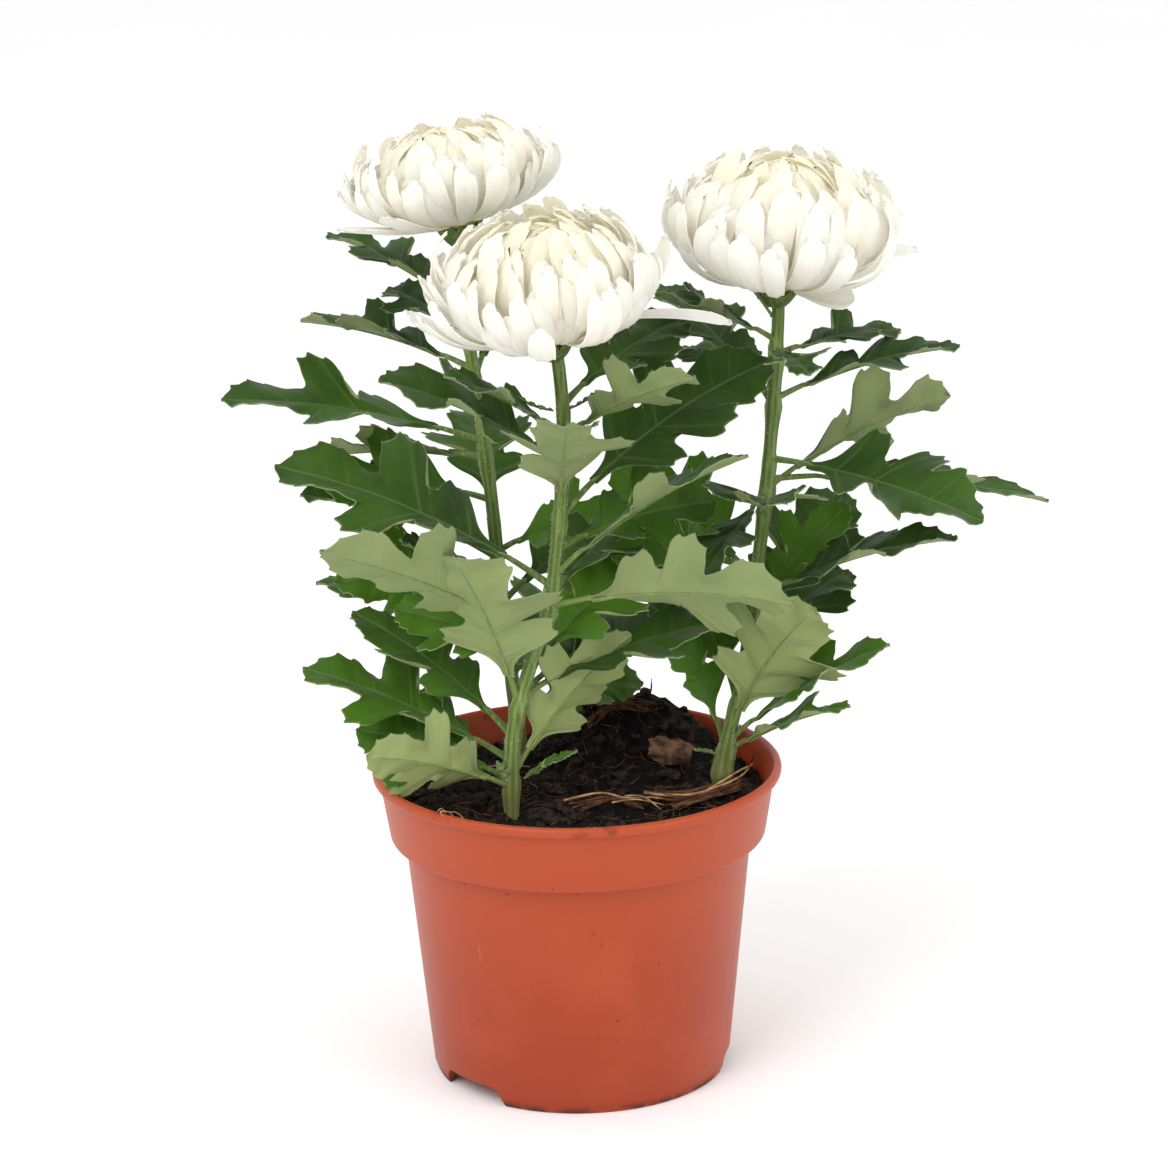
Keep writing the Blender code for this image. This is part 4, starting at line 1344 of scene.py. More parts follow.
@dataclass(frozen=True)
class Leaf:
    """A leaf: where it leaves its stem, where it points and how it bends. Angles are in degrees."""

    height: float
    heading: float
    slope: float
    length: float
    droop: float
    roll: float
    width: float
    fold: float
    # Painted light and tone: how much of the brighter lit-through green the leaf gets; below 0 it is worked
    # out from its height.
    tone: float = -1.0

    def frame(self, root: Vector, share: float) -> tuple[Vector, Vector, Vector, Vector]:
        """The place, tangent, side and normal of the midrib, with its roll."""
        place, tangent, side, normal = arc_frame(
            root, self.heading, self.slope, self.droop, self.length, share
        )
        roll = math.radians(self.roll) * min(1.0, share / SHAPE.petiole_share)
        rolled_side = side * math.cos(roll) + normal * math.sin(roll)
        rolled_normal = normal * math.cos(roll) - side * math.sin(roll)
        return place, tangent, rolled_side, rolled_normal

    def reach(self, station: Station, across: float) -> float:
        """The distance from the midrib to the edge on one side, a little uneven from leaf to leaf."""
        seed = self.heading + 3.7 * self.height
        uneven = noise.noise(Vector((station.foot * 6.0, seed, 4.0 if across > 0 else 9.0)))
        blade = self.length * (1.0 - SHAPE.petiole_share)
        return station.y * blade * self.width * (SHAPE.spread + SHAPE.uneven * uneven)

    def point(self, root: Vector, station: Station, across: float) -> Vector:
        """A point of the blade's upper face."""
        share = SHAPE.petiole_share + (1.0 - SHAPE.petiole_share) * station.foot
        place, tangent, side, normal = self.frame(root, share)
        blade = self.length * (1.0 - SHAPE.petiole_share)
        part = abs(across)
        sign = math.copysign(1.0, across) if across else 0.0
        wave = SHAPE.wave * math.sin(SHAPE.wave_turns * station.foot + self.heading + sign)
        fold = math.radians(self.fold + wave * part)
        reach = self.reach(station, across) * part
        outward = side * (sign * math.cos(fold)) + normal * math.sin(fold)
        swell = SHAPE.quilt * SHAPE.bulge(station.foot) * math.sin(math.pi * min(1.0, 1.15 * part))
        spot = Vector((station.foot * 16.0, self.heading, sign * 3.0))
        lift = swell + SHAPE.ripple * part ** 3 * noise.noise(spot) - SHAPE.sink
        forward = tangent * (blade * (station.x - station.foot) * part)
        return place + forward + outward * reach + normal * lift

    def draw_blade(self, root: Vector, tone: float) -> bmesh.types.BMesh:
        """Draws the blade, with the marks that its finish reads."""
        sheet = Sheet(tuple(range(len(STATIONS))), SHAPE.columns, SHAPE.thickness)
        return sheet.draw(
            lambda row, column: self.point(root, STATIONS[row], column),
            {
                "along": lambda row, column: STATIONS[row].foot,
                "across": lambda row, column: column,
                "reach": lambda row, column: MM * abs(column) * self.reach(STATIONS[row], column),
                "tone": lambda row, column: tone,
            },
        )

    def draw_petiole(self, root: Vector) -> bmesh.types.BMesh:
        """Draws the stalk with its groove, running on as the midrib under the blade."""

        def skin(along: float, turn: float) -> Vector:
            """The stalk's skin."""
            share = along * SHAPE.stalk_end
            place, _, side, normal = self.frame(root, share)
            clasp = 1.0 + SHAPE.clasp * math.exp(-share / SHAPE.clasp_share)
            in_blade = max(0.0, (share - SHAPE.petiole_share) / (1.0 - SHAPE.petiole_share))
            radius = SHAPE.petiole_radius * (1.0 - 0.30 * min(1.0, share / SHAPE.petiole_share))
            radius *= (1.0 - in_blade) ** 0.8 * (1.0 - 0.35 * min(1.0, in_blade / 0.1))
            groove = 1.0 - SHAPE.groove * max(0.0, math.sin(turn)) ** 3
            below = min(1.0, in_blade / 0.04) * (SHAPE.sink + SHAPE.thickness + 0.15 * radius)
            across = math.cos(turn) * radius * clasp
            up = math.sin(turn) * radius * groove - below
            return place + side * across + normal * up

        return draw_tube(skin, 44, 10, {"rib": lambda share, turn: 0.5 - 0.5 * math.sin(turn)})


@dataclass(frozen=True)
class Bloom:
    """Where a bloom sits: its axis leans from the vertical towards a heading. Angles are in degrees."""

    name: str
    place: tuple
    lean: float
    lean_heading: float
    width_scale: float
    height_scale: float
    seed: int
    extra_petals: tuple = ()

    def matrix(self) -> Matrix:
        """The bloom's own frame: origin at the top of the calyx, +Z along its axis."""
        lean = Matrix.Rotation(math.radians(self.lean), 4, on_circle(1.0, self.lean_heading + 90))
        return Matrix.Translation(Vector(self.place)) @ lean


@dataclass(frozen=True)
class Petal:
    """A petal of a bloom, in the bloom's frame. Angles are in degrees."""

    heading: float
    root_radius: float
    root_height: float
    rise: float
    bend: float
    length: float
    width: float
    twist: float
    heart: float = 0.0
    sway: float = 0.0
    cup: float = 1.0


@dataclass(frozen=True)
class PetalShape:
    """The outline that all petals share: (share of the length, half width, lift of the edges)."""

    outline: tuple = (
        (0.0, 0.38, 0.50), (0.15, 0.52, 0.50), (0.35, 0.76, 0.48), (0.55, 0.93, 0.44), (0.72, 1.0, 0.40),
        (0.84, 1.0, 0.34), (0.92, 0.90, 0.28), (0.965, 0.70, 0.22), (0.99, 0.42, 0.18), (1.0, 0.16, 0.16),
    )
    curve: float = 1.6
    spine_steps: int = 24
    shoulder: float = 0.03
    ridge: float = 0.08
    ridge_turns: float = 9.0
    cup_power: float = 1.7
    thickness: float = 0.42
    fine_rows: tuple = (0.0, 0.1, 0.21, 0.33, 0.45, 0.56, 0.66, 0.75, 0.83, 0.9, 0.95, 0.985, 1.0)
    fine_columns: tuple = (-1.0, -0.72, -0.38, 0.0, 0.38, 0.72, 1.0)
    coarse_rows: tuple = (0.0, 0.2, 0.4, 0.58, 0.74, 0.86, 0.95, 1.0)
    coarse_columns: tuple = (-1.0, -0.55, 0.0, 0.55, 1.0)

    def spine(self, petal: Petal) -> list[Vector]:
        """The petal's middle line as (distance out, height, slope), which curls more towards its tip."""
        step = petal.length / self.spine_steps
        points = [Vector((0.0, 0.0, math.radians(petal.rise)))]
        for index in range(self.spine_steps):
            middle = math.radians(petal.rise + petal.bend * ((index + 0.5) / self.spine_steps) ** self.curve)
            slope = math.radians(petal.rise + petal.bend * ((index + 1.0) / self.spine_steps) ** self.curve)
            last = points[-1]
            out = last.x + step * math.cos(middle)
            up = last.y + step * math.sin(middle)
            points.append(Vector((out, up, slope)))
        return points

    def point(self, petal: Petal, spine: Sequence[Vector], share: float, across: float) -> Vector:
        """A point of a petal's inner face, in the bloom's frame."""
        half_width = smooth_value(self.outline, share, 1)
        lift = smooth_value(self.outline, share, 2) * petal.cup
        along = share - self.shoulder * across * across * share * share
        out, up, slope = smooth_point(spine, along)
        forward = on_circle(1.0, petal.heading)
        side = on_circle(1.0, petal.heading + 90)
        tangent = forward * math.cos(slope) + Vector((0, 0, math.sin(slope)))
        place = on_circle(petal.root_radius + out, petal.heading, petal.root_height + up)
        turn = Matrix.Rotation(math.radians(petal.twist) * share, 3, tangent)
        half = petal.width / 2
        outward = (turn @ side) * (across * half * half_width + petal.sway * share * share)
        ridge = self.ridge * half * math.cos(across * self.ridge_turns) * math.sin(math.pi * share)
        cupped = abs(across) ** self.cup_power * half * half_width * lift
        return place + outward + (turn @ tangent.cross(side)) * (cupped + ridge)


PETAL_SHAPE = PetalShape()


def grade(terms: Sequence[float], share: float) -> float:
    """The sum of terms, of which each is multiplied by the share once more than the one before."""
    return sum(term * share ** power for power, term in enumerate(terms))


@dataclass
class BloomHead:
    """The petals, heart and calyx of one bloom.

    What changes from the outermost petal (0) to the innermost (1) is given by its terms: the value at 0,
    and what is added with the share inward and with its square.
    """

    bloom: Bloom
    petal_count: int = 250
    fine_count: int = 150
    heading_spread: float = 11.0
    rise: tuple = (9.0, 69.0)
    rise_power: float = 2.2
    rise_spread: tuple = (-8.0, 10.0)
    bend: tuple = (94.0, 150.0, -142.0)
    bend_spread: tuple = (-16.0, 14.0)
    length: tuple = (39.0, 32.0, -41.0)
    length_spread: tuple = (0.84, 1.1)
    width: tuple = (7.0, -1.6)
    width_spread: tuple = (0.8, 1.15)
    twist_spread: float = 30.0
    sway_spread: float = 4.5
    cup_spread: tuple = (0.7, 1.4)
    core_radius: float = 5.2
    core_height: float = 11.0
    calyx_radius: float = 5.8
    calyx_foot: float = 2.3
    calyx_height: float = 5.4
    calyx_gap: float = 0.2
    bract_rings: tuple = ((13, 0.3, 6.0), (11, 0.05, 4.6))
    bract_width: float = 1.5
    bract_lift: float = 0.4

    def petals(self) -> list[Petal]:
        """The petals from the outermost inwards, spread by the golden angle and closing over the heart."""
        draw = random.Random(self.bloom.seed)
        petals = list(self.bloom.extra_petals)
        for index in range(self.petal_count):
            inward = (index + 0.5) / self.petal_count
            petals.append(
                Petal(
                    heading=index * GOLDEN_ANGLE + draw.uniform(-self.heading_spread, self.heading_spread),
                    root_radius=self.core_radius * (1.0 - inward) ** 0.5,
                    root_height=1.0 + self.core_height * inward ** 0.8,
                    rise=grade(self.rise, inward ** self.rise_power) + draw.uniform(*self.rise_spread),
                    bend=grade(self.bend, inward) + draw.uniform(*self.bend_spread),
                    length=grade(self.length, inward) * draw.uniform(*self.length_spread),
                    width=grade(self.width, inward) * draw.uniform(*self.width_spread),
                    twist=draw.uniform(-self.twist_spread, self.twist_spread),
                    heart=inward,
                    sway=draw.uniform(-self.sway_spread, self.sway_spread),
                    cup=draw.uniform(*self.cup_spread),
                )
            )
        return petals

    def draw_petal(self, petal: Petal, fine: bool) -> bmesh.types.BMesh:
        """Draws one petal, with the marks that its finish reads."""
        rows = PETAL_SHAPE.fine_rows if fine else PETAL_SHAPE.coarse_rows
        columns = PETAL_SHAPE.fine_columns if fine else PETAL_SHAPE.coarse_columns
        spine = PETAL_SHAPE.spine(petal)
        return Sheet(rows, columns, PETAL_SHAPE.thickness).draw(
            lambda share, across: PETAL_SHAPE.point(petal, spine, share, across),
            {
                "along": lambda share, across: share,
                "across": lambda share, across: across,
                "heart": lambda share, across: petal.heart,
            },
        )

    def draw_core(self) -> bmesh.types.BMesh:
        """Draws the small heart that the petals grow from."""
        radius, height = self.core_radius, self.core_height
        profile = [(0.0, 0.2), (radius, 0.6)]
        profile += [(radius * math.cos(turn), 1.2 + height * math.sin(turn)) for turn in (0.0, 0.5, 1.0)]
        profile.append((0.0, 1.2 + height))
        bm = spin_profile(profile, 24)
        for name, value in (("along", 0.3), ("across", 0.0), ("heart", 1.0), ("under", 0.0)):
            layer = bm.verts.layers.float.new(name)
            for vert in bm.verts:
                vert[layer] = value
        return bm

    def build(self, petal_finish: bpy.types.Material) -> None:
        """Builds the bloom's petals."""
        size = (self.bloom.width_scale, self.bloom.width_scale, self.bloom.height_scale, 1.0)
        shapes = [self.draw_core()]
        for index, petal in enumerate(self.petals()):
            shapes.append(self.draw_petal(petal, fine=index < self.fine_count))
        bm = gather(shapes)
        bmesh.ops.transform(bm, matrix=self.bloom.matrix() @ Matrix.Diagonal(size), verts=bm.verts)
        finish(bm, self.bloom.name + "_petals", petal_finish, Slot.PETALS, [self.bloom.name])

    def draw_calyx(self) -> list[bmesh.types.BMesh]:
        """Draws the cup and its overlapping bracts, marked for the stem's finish."""
        radius, height = self.calyx_radius, self.calyx_height
        profile = (
            (0, self.calyx_gap),
            (radius, self.calyx_gap),
            (radius * 0.98, -1.0),
            (radius * 0.78, -height * 0.5),
            (self.calyx_foot, -height),
            (0, -height),
        )
        shapes = [spin_profile(profile, 28)]
        sheet = Sheet((0.0, 0.25, 0.5, 0.75, 1.0), (-1.0, 0.0, 1.0), 0.3)
        for ring, (count, start, length) in enumerate(self.bract_rings):
            for index in range(count):
                shapes.append(self.draw_bract(sheet, (index + 0.5 * ring) * 360.0 / count, start, length))
        for shape in shapes:
            bmesh.ops.transform(shape, matrix=self.bloom.matrix(), verts=shape.verts)
            add_marks(shape)
        return shapes

    def draw_bract(self, sheet: Sheet, heading: float, start: float, length: float) -> bmesh.types.BMesh:
        """Draws one bract, lying up against the cup."""

        def point(share: float, across: float) -> Vector:
            """The bract's outer face."""
            climb = start + share * length / self.calyx_height
            radius = self.calyx_foot + (self.calyx_radius - 2.0) * min(1.2, climb) ** 0.7
            width = self.bract_width * math.sin(math.pi * (0.16 + 0.84 * share) ** 0.8) + 0.1
            turn = heading + math.degrees(across * width / radius)
            return on_circle(radius + self.bract_lift, turn, self.calyx_height * (climb - 1.0))

        return sheet.draw(point, {})


def add_marks(bm: bmesh.types.BMesh) -> None:
    """Gives a green shape the plain mark that the stem's finish reads."""
    layer = bm.verts.layers.float.get("rib") or bm.verts.layers.float.new("rib")
    for vert in bm.verts:
        vert[layer] = 0.25


@dataclass
class Plant:
    """One leafy stem, from its buried foot to the calyx of its bloom."""

    name: str
    path: tuple
    foot_radius: float
    head_radius: float
    leaves: tuple
    bloom: Bloom
    bracts: tuple = ()
    inner_leaves: tuple = ()
    leanness: float = 0.84
    ribs: int = 7
    rib_relief: float = 0.03
    rib_twist: float = 0.4
    node_rise: float = 1.2
    node_above: float = 1.5
    node_below: float = 5.0
    node_swell: float = 0.12
    node_swell_toward: float = 0.6
    top_sink: float = 3.4
    rings: int = 110
    sides: int = 42
    collar: float = 0.0
    collar_level: float = 88.0
    collar_height: float = 3.0
    # Painted light: leaves below this height get a brighter green, as if lit through.
    painted_lit_below: float = 130.0
    painted_lit_drop: float = 60.0
    bract_lit_through_tone: float = 0.5
    hair_count: int = 1500
    hair_range: tuple = (0.18, 0.98)
    hair_seed: int = 77
    bunch_size: int = 800
    hair_lengths: tuple = (0.45, 0.9)
    hair_radius: float = 0.045
    hair_swerve: float = 0.5
    route: list[Vector] = field(init=False)

    def __post_init__(self) -> None:
        """Works out the stem's whole route, up to the calyx."""
        top = self.bloom.matrix() @ Vector((0, 0, -self.top_sink))
        self.route = [Vector(point) for point in self.path] + [top]

    def root(self, height: float) -> Vector:
        """The point of the stem's line at a height."""
        for low, high in zip(self.path, self.path[1:]):
            if height <= high[2]:
                share = (height - low[2]) / (high[2] - low[2])
                return Vector(low).lerp(Vector(high), share)
        return Vector(self.path[-1])

    def skin(self, share: float, turn: float) -> tuple[Vector, Vector]:
        """The stem's skin and its outward direction at a share of the route and a turn round it."""
        here = smooth_point(self.route, share)
        ahead = run_of(self.route, share).normalized()
        radius = self.foot_radius + share * (self.head_radius - self.foot_radius)
        radius *= self.leanness + self.rib_relief * math.cos(self.ribs * turn + self.rib_twist * share)
        radius += self.collar * math.exp(-(((here.z - self.collar_level) / self.collar_height) ** 2))
        for leaf in self.leaves:
            above = here.z - leaf.height + self.node_rise
            rise = above / (self.node_above if above > 0.0 else self.node_below)
            if abs(rise) < 3.0:
                toward = max(0.0, math.cos(turn - math.radians(leaf.heading)))
                radius += (self.node_swell + self.node_swell_toward * toward ** 3) * math.exp(-rise * rise)
        flat = Vector((math.cos(turn), math.sin(turn), 0.0))
        outward = (flat - ahead * flat.dot(ahead)).normalized()
        return here + outward * radius, outward

    def build_stem(self, finish_material: bpy.types.Material) -> None:
        """Builds the ribbed stem, the leaf stalks and the calyx as one piece."""
        stem = draw_tube(
            lambda share, turn: self.skin(share, turn)[0],
            self.rings,
            self.sides,
            {"rib": lambda share, turn: 0.5 + 0.5 * math.cos(self.ribs * turn + self.rib_twist * share)},
        )
        stalks = [leaf.draw_petiole(self.root(leaf.height)) for leaf in self.leaves + self.inner_leaves]
        bm = gather([stem, *stalks, *BloomHead(self.bloom).draw_calyx()])
        finish(bm, self.name + "_stem", finish_material, Slot.FOLIAGE, [self.name])

    def tone(self, leaf: Leaf, draw: random.Random) -> float:
        """How bright a leaf's green is: lower leaves get a brighter green, painted as light let through
        them, plus a little random tone.
        """
        low = (self.painted_lit_below - leaf.height) / self.painted_lit_drop
        worked_out = min(0.75, max(0.0, low)) + draw.uniform(0.0, 0.2)
        return worked_out if leaf.tone < 0 else leaf.tone

    def build_leaves(self, material: bpy.types.Material) -> None:
        """Builds the blades, with a few small leaves in the axils."""
        draw = random.Random(len(self.name) + len(self.leaves))
        lit_through_toned = [(leaf, self.tone(leaf, draw)) for leaf in self.leaves + self.inner_leaves]
        lit_through_toned += [(leaf, self.bract_lit_through_tone) for leaf in self.bracts]
        blades = [leaf.draw_blade(self.root(leaf.height), tone) for leaf, tone in lit_through_toned]
        finish(gather(blades), self.name + "_leaves", material, Slot.FOLIAGE, [self.name])

    def build_down(self, material: bpy.types.Material) -> None:
        """Builds the short hairs on the stem and the leaf margins."""
        draw = random.Random(self.hair_seed)
        bm = gather(self.draw_hairs(draw))
        finish(bm, self.name + "_down", material, Slot.FOLIAGE)

    def hair_feet(self, draw: random.Random) -> Iterable[tuple[Vector, Vector]]:
        """The foot and the direction of each hair, first on the stem and then along the leaf margins."""
        for _ in range(self.hair_count):
            share = draw.uniform(*self.hair_range)
            yield self.skin(share, draw.uniform(0, 2 * math.pi))
        for leaf in self.leaves:
            root = self.root(leaf.height)
            for station in STATIONS[4:-1:2]:
                for side in (-1.0, 1.0):
                    edge = leaf.point(root, station, side)
                    inner = leaf.point(root, station, 0.9 * side)
                    yield edge, (edge - inner).normalized()

    def draw_hairs(self, draw: random.Random) -> Iterable[bmesh.types.BMesh]:
        """Draws the hairs, in bunches that stay small."""
        bunch = bmesh.new()
        for place, direction in self.hair_feet(draw):
            self.add_hair(bunch, place, direction, draw)
            if len(bunch.verts) > self.bunch_size:
                yield bunch
                bunch = bmesh.new()
        yield bunch

    def add_hair(self, bm: bmesh.types.BMesh, place: Vector, direction: Vector, draw: random.Random) -> None:
        """Adds one hair, a slim three-sided point."""
        length = draw.uniform(*self.hair_lengths)
        swerve = Vector([draw.uniform(-self.hair_swerve, self.hair_swerve) for _ in range(3)])
        aim = (direction + swerve).normalized()
        turn = aim.to_track_quat("Z", "Y").to_matrix().to_4x4()
        matrix = Matrix.Translation(place + aim * (0.4 * length)) @ turn
        bmesh.ops.create_cone(
            bm, cap_ends=True, segments=3, radius1=self.hair_radius, radius2=0.0,
            depth=length, matrix=matrix,
        )


BLOOM_LEFT = Bloom(
    "bloom_left", (-31.0, 19.5, 249), 10, 172, 0.97, 0.65, 3,
    (
        Petal(206, 5, 1, 12, 14, 34, 9, 0), Petal(188, 5, 1, 6, 26, 33, 9, 0),
        Petal(222, 5, 1, 8, 30, 36, 9, 0), Petal(238, 5, 1, 8, 50, 36, 9, 0),
        Petal(172, 5, 1, 12, 70, 40, 8, 0), Petal(180, 5, 4, 20, 76, 42, 7, 0),
        Petal(160, 5, 3, 22, 80, 42, 7, 0),
    ),
)
BLOOM_FRONT = Bloom(
    "bloom_front", (-5.0, -30.8, 226), 12, 250, 1.04, 0.80, 5,
    (
        Petal(12, 5, 4, 3, -40, 47, 4.0, 50, cup=0.5),
        Petal(177, 5, 1, 8, 80, 38, 8, 0), Petal(187, 5, 1, 4, 62, 39, 8.5, 0),
        Petal(196, 5, 2, 4, 64, 40, 8.5, 0), Petal(205, 5, 1, 5, 76, 42, 8.5, 0),
        Petal(183, 5, 4, 16, 68, 40, 7.5, 0), Petal(199, 5, 5, 18, 76, 42, 7.5, 0),
        Petal(214, 5, 2, 8, 90, 45, 8, 0), Petal(190, 5, 6, 28, 66, 41, 7.5, 0),
        Petal(170, 5, 5, 24, 74, 38, 7, 0), Petal(222, 5, 4, 14, 100, 46, 8, 0),
    ),
)
BLOOM_RIGHT = Bloom(
    "bloom_right", (59.5, 10.2, 231.5), 9, 310, 1.09, 0.87, 8,
    (
        Petal(338, 3, 0, -10, 40, 19, 10, 45, cup=1.4), Petal(205, 5, 1, 2, 108, 38, 8, 0),
        Petal(4, 5, 4, 30, -26, 34, 5, 30, cup=0.6),
    ),
)

PLANTS = (
    Plant(
        name="plant_left",
        path=(
            (-17, 30, 62), (-17, 30, 88), (-18.6, 29, 104), (-22, 27, 142), (-24, 25.5, 168),
            (-26.5, 24, 194), (-30.0, 22, 221), (-30.9, 20, 242),
        ),
        foot_radius=2.6,
        head_radius=1.9,
        bloom=BLOOM_LEFT,
        leaves=(
            Leaf(225, 150, 21, 50, 20, 5, 0.85, 15),
            Leaf(216, 131, 14, 38, 20, -10, 0.95, 15),
            Leaf(206, 160, 12, 56, 25, 2, 0.8, 20),
            Leaf(184, 192, 13, 79, 20, -14, 0.72, 12),
            Leaf(179, 160, -3, 52, 20, 20, 0.8, 20),
            Leaf(148, 192, 22, 63, 25, -12, 0.85, 15),
            Leaf(124, 165, 12, 61, 25, -5, 0.85, 15),
            Leaf(136, 226, 32, 46, 20, -10, 0.95, 12),
            Leaf(160, 98, 25, 54, 30, 0, 0.95, 12),
            Leaf(110, 60, 22, 54, 30, 10, 0.95, 12),
            Leaf(204, 70, 25, 46, 25, 0, 0.95, 12),
            Leaf(134, 20, 30, 50, 25, 30, 0.95, 12),
        ),
        bracts=(Leaf(239, 300, -10, 9, 20, 0, 0.4, 12),),
        inner_leaves=(
            Leaf(166, 200, 10, 52, 25, -40, 0.95, 12, 0.5),
            Leaf(138, 185, 5, 50, 25, -45, 1.0, 12, 0.9),
            Leaf(112, 350, 20, 46, 25, 45, 1.0, 12, 0.9),
            Leaf(150, 340, 20, 42, 25, 40, 1.0, 12, 0.8),
            Leaf(100, 10, 8, 40, 30, 30, 1.0, 12, 0.6),
        ),
    ),
    Plant(
        name="plant_front",
        path=(
            (-19, -22, 62), (-19, -22, 86), (-18.5, -23, 102), (-16.5, -24, 117), (-11.9, -25, 132.5),
            (-7.3, -26, 146), (-4.8, -26.5, 162), (-2.6, -28, 186), (-2, -29, 203), (-3.2, -30.5, 220),
        ),
        foot_radius=2.5,
        head_radius=2.1,
        bloom=BLOOM_FRONT,
        leaves=(
            Leaf(93, 203, 20, 47, 20, 62, 1.05, 12),
            Leaf(118, 236, 60, 60, 20, 10, 1.2, 12),
            Leaf(96, 14, 48, 54, 25, -70, 0.95, 12),
            Leaf(101, 162, 20, 68, 20, -12, 0.75, 12),
            Leaf(108, 147, 28, 64, 25, -12, 0.75, 12),
            Leaf(138, 204, 28, 74, 20, 40, 0.8, 12),
            Leaf(154, 168, 22, 87, 25, -17, 0.8, 12),
            Leaf(190, 190, 28, 58, 25, -15, 1.05, 15),
            Leaf(176, 275, 45, 48, 30, 0, 1.1, 12),
            Leaf(148, 338, 6, 74, 25, -50, 0.85, 12),
            Leaf(121, 18, 14, 64, 25, 15, 0.85, 12),
            Leaf(151, 57, 16, 46, 25, 10, 0.9, 12),
            Leaf(122, 44, 14, 50, 25, 15, 0.9, 12),
            Leaf(199, 208, 30, 42, 20, -10, 0.9, 12),
            Leaf(207, 46, 18, 54, 25, 15, 0.85, 12),
            Leaf(198, 331, 27, 47, 20, -30, 0.95, 12),
            Leaf(174, 28, 28, 80, 30, 25, 0.8, 12),
            Leaf(157, 343, 34, 69, 25, -5, 0.65, 12),
        ),
        bracts=(
            Leaf(206, 186, 20, 13, -40, 0, 0.28, 20),
            Leaf(206, 352, 30, 11, -30, 0, 0.28, 20),
            Leaf(192, 250, 40, 9, 10, 0, 0.5, 20),
            Leaf(94, 350, 30, 22, 10, 20, 0.35, 20),
            Leaf(92, 230, 60, 12, 10, 20, 0.5, 20),
        ),
        inner_leaves=(
            Leaf(132, 160, 15, 44, 25, -40, 1.0, 12, 0.8),
            Leaf(165, 20, 10, 50, 25, 40, 0.9, 12, 0.5),
            Leaf(128, 30, 35, 52, 25, 35, 0.95, 12, 0.9),
            Leaf(95, 168, 16, 48, 20, -35, 1.1, 12, 0.7),
        ),
    ),
    Plant(
        name="plant_right",
        path=(
            (42.4, 0, 62), (42.4, 0, 86), (43.8, 0, 97), (46.2, 0, 107), (49, 1, 118), (52.3, 3, 141),
            (55.1, 5, 164), (57.6, 7, 188), (59.3, 9, 211), (60, 10, 226),
        ),
        foot_radius=2.5,
        head_radius=2.1,
        collar=1.3,
        bloom=BLOOM_RIGHT,
        leaves=(
            Leaf(212, 21, 5, 40, 25, 5, 0.9, 12),
            Leaf(199, 358, 16, 56, 25, 5, 0.8, 12),
            Leaf(173, 17, 22, 62, 25, -45, 1.0, 12),
            Leaf(182, 338, -12, 66, 20, 12, 1.15, 12),
            Leaf(166, 269, 18, 46, 25, 0, 1.1, 12),
            Leaf(141, 344, 20, 64, 25, 5, 0.75, 12),
            Leaf(176, 10, -8, 86, 20, 0, 0.45, 12),
            Leaf(129, 53, 32, 62, 25, 15, 0.85, 12),
            Leaf(123, 46, 20, 50, 25, 10, 0.9, 12),
            Leaf(100, 318, 54, 56, 25, -60, 1.1, 12),
            Leaf(98, 348, 34, 58, 25, 8, 0.75, 12),
            Leaf(95, 334, 26, 44, 25, 0, 0.8, 12),
            Leaf(96, 170, 64, 52, 25, -20, 0.8, 12),
            Leaf(111, 120, 45, 46, 25, -20, 0.9, 12),
            Leaf(146, 150, 32, 56, 25, -40, 1.0, 12, 0.9),
            Leaf(172, 238, -25, 44, 20, 20, 0.8, 12),
            Leaf(216, 197, 25, 42, 20, -5, 0.8, 12),
            Leaf(198, 131, 30, 56, 20, 0, 0.75, 12),
            Leaf(204, 125, 4, 44, 20, 0, 0.9, 12),
            Leaf(213, 284, 0, 32, 20, 0, 0.9, 12),
        ),
        bracts=(
            Leaf(221, 200, 55, 14, 10, 0, 0.4, 20),
            Leaf(208, 330, 50, 9, 10, 0, 0.5, 20),
            Leaf(94, 200, 20, 10, 10, 20, 0.5, 20),
        ),
        inner_leaves=(
            Leaf(150, 200, 10, 46, 25, -40, 0.95, 12, 1.0),
            Leaf(128, 185, 40, 40, 20, -30, 0.9, 12, 0.9),
            Leaf(135, 20, 45, 44, 20, 35, 0.8, 12, 0.9),
        ),
    ),
)


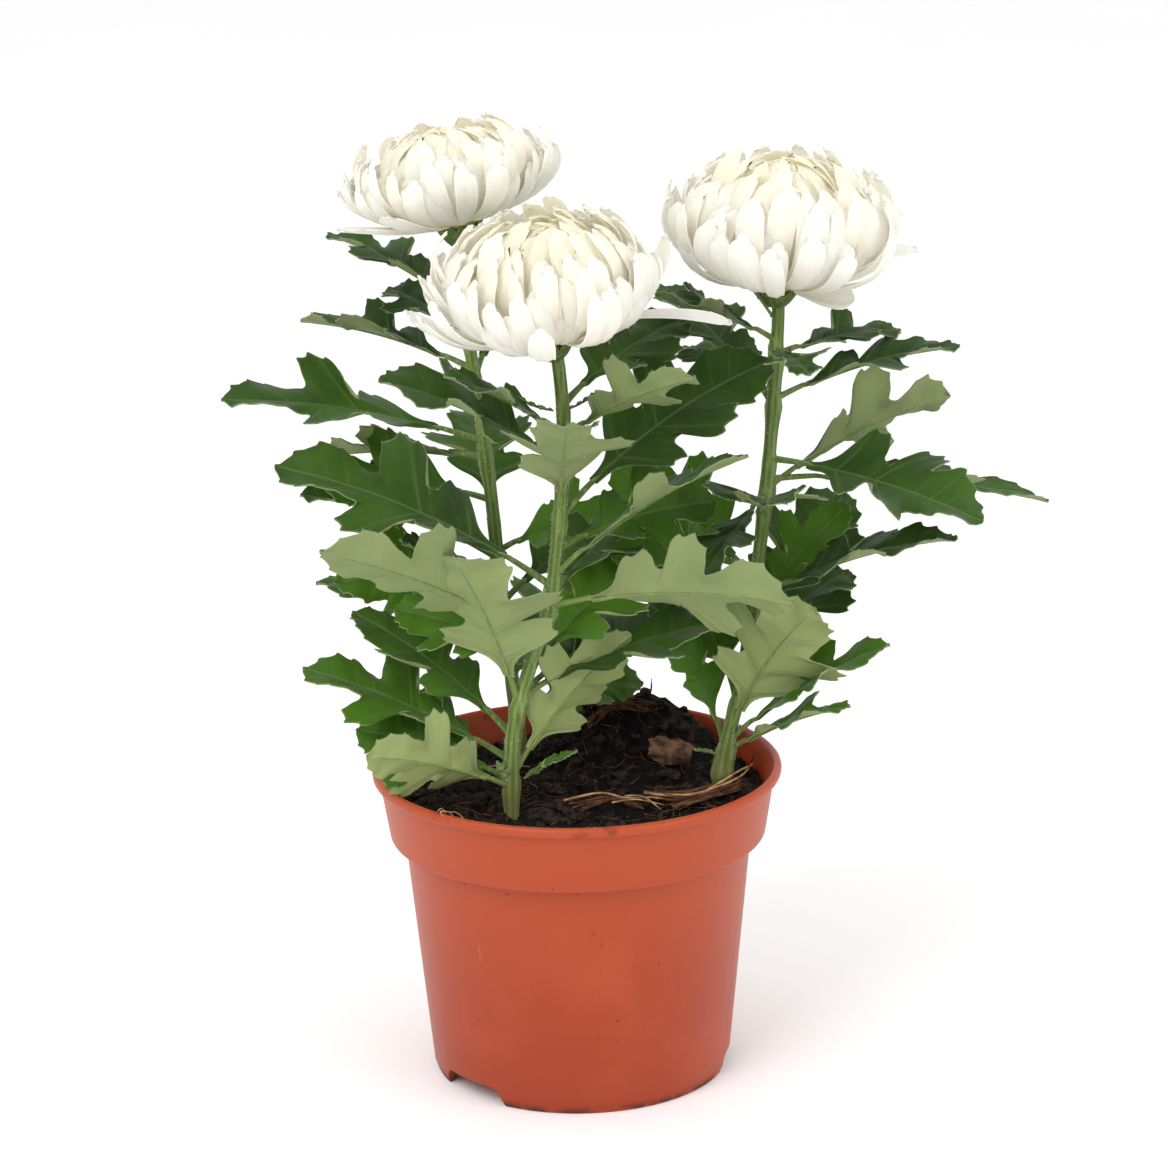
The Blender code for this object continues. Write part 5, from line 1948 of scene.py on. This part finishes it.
@dataclass
class Studio:
    """The pale floor, the soft lights and the camera."""

    image_pixels: float = 1168.0
    focal_pixels: float = 3878.0
    sensor: float = 36.0
    camera_place: tuple = (0.003, -1.080, 0.454)
    camera_pitch: float = 15.87
    camera_roll: float = 1.0
    lights: tuple = (("key", (-0.7, -1.0, 1.3), 0.9, 12.0), ("fill", (1.1, -0.7, 0.8), 1.0, 5.0))
    light_aim: tuple = (0.0, 0.0, 0.15)
    floor_radius: float = 6.0
    world_strength: float = 1.0

    def build_floor(self) -> None:
        """Builds the floor under the pot."""
        bm = bmesh.new()
        bmesh.ops.create_circle(bm, cap_ends=True, segments=96, radius=self.floor_radius)
        mesh = bpy.data.meshes.new("floor")
        bm.to_mesh(mesh)
        bm.free()
        mesh.materials.append(FLOOR.make())
        floor = bpy.data.objects.new("floor", mesh)
        bpy.context.scene.collection.objects.link(floor)
        floor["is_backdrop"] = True

    def build_world(self) -> None:
        """Builds the even white surroundings."""
        world = bpy.data.worlds.new("studio")
        world.use_nodes = True
        background = world.node_tree.nodes["Background"]
        background.inputs["Color"].default_value = (1.0, 1.0, 1.0, 1.0)
        background.inputs["Strength"].default_value = self.world_strength
        bpy.context.scene.world = world

    def build_light(self, name: str, place: tuple, size: float, power: float) -> None:
        """Builds a square soft light that looks at the middle of the object."""
        lamp = bpy.data.lights.new(name, "AREA")
        lamp.shape = "SQUARE"
        lamp.size = size
        lamp.energy = power
        light = bpy.data.objects.new(name, lamp)
        light.location = place
        aim = Vector(self.light_aim) - light.location
        light.rotation_euler = aim.to_track_quat("-Z", "Y").to_euler()
        bpy.context.scene.collection.objects.link(light)

    def build_camera(self) -> None:
        """Builds the camera at the photograph's place."""
        lens = bpy.data.cameras.new("camera")
        lens.sensor_width = self.sensor
        lens.lens = self.focal_pixels / self.image_pixels * self.sensor
        camera = bpy.data.objects.new("camera", lens)
        tilt = Matrix.Rotation(math.radians(90.0 - self.camera_pitch), 4, "X")
        roll = Matrix.Rotation(-math.radians(self.camera_roll), 4, "Z")
        camera.matrix_world = Matrix.Translation(self.camera_place) @ tilt @ roll
        bpy.context.scene.collection.objects.link(camera)
        bpy.context.scene.camera = camera

    def build(self) -> None:
        """Builds the whole studio."""
        self.build_camera()
        self.build_floor()
        self.build_world()
        for name, place, size, power in self.lights:
            self.build_light(name, place, size, power)
        bpy.context.scene.view_settings.view_transform = "Standard"


def write_sizes() -> None:
    """Works out the frame's box and the dressed object's box, but writes them nowhere."""
    boxes = {"cad": CAD_BOX, "visual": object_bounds()}
    plain = {name: [list(low), list(high)] for name, (low, high) in boxes.items()}


def main() -> None:
    """Builds the object piece by piece, and the studio round it."""
    logging.basicConfig(level=logging.INFO, format="%(message)s")
    Studio().build()
    pot = Pot()
    pot.build()
    soil = Soil(pot)
    peat = SoilFinish().make()
    soil.build_bed(peat)
    soil.build_litter(peat)
    Litter(soil).build()
    petal_finish = PetalFinish().make()
    leaf_finish = LeafFinish().make()
    stem_finish = StemFinish().make()
    down_finish = DOWN.make()
    for plant in PLANTS:
        plant.build_stem(stem_finish)
        plant.build_leaves(leaf_finish)
        plant.build_down(down_finish)
        BloomHead(plant.bloom).build(petal_finish)
    write_sizes()


if __name__ == "__main__":
    main()
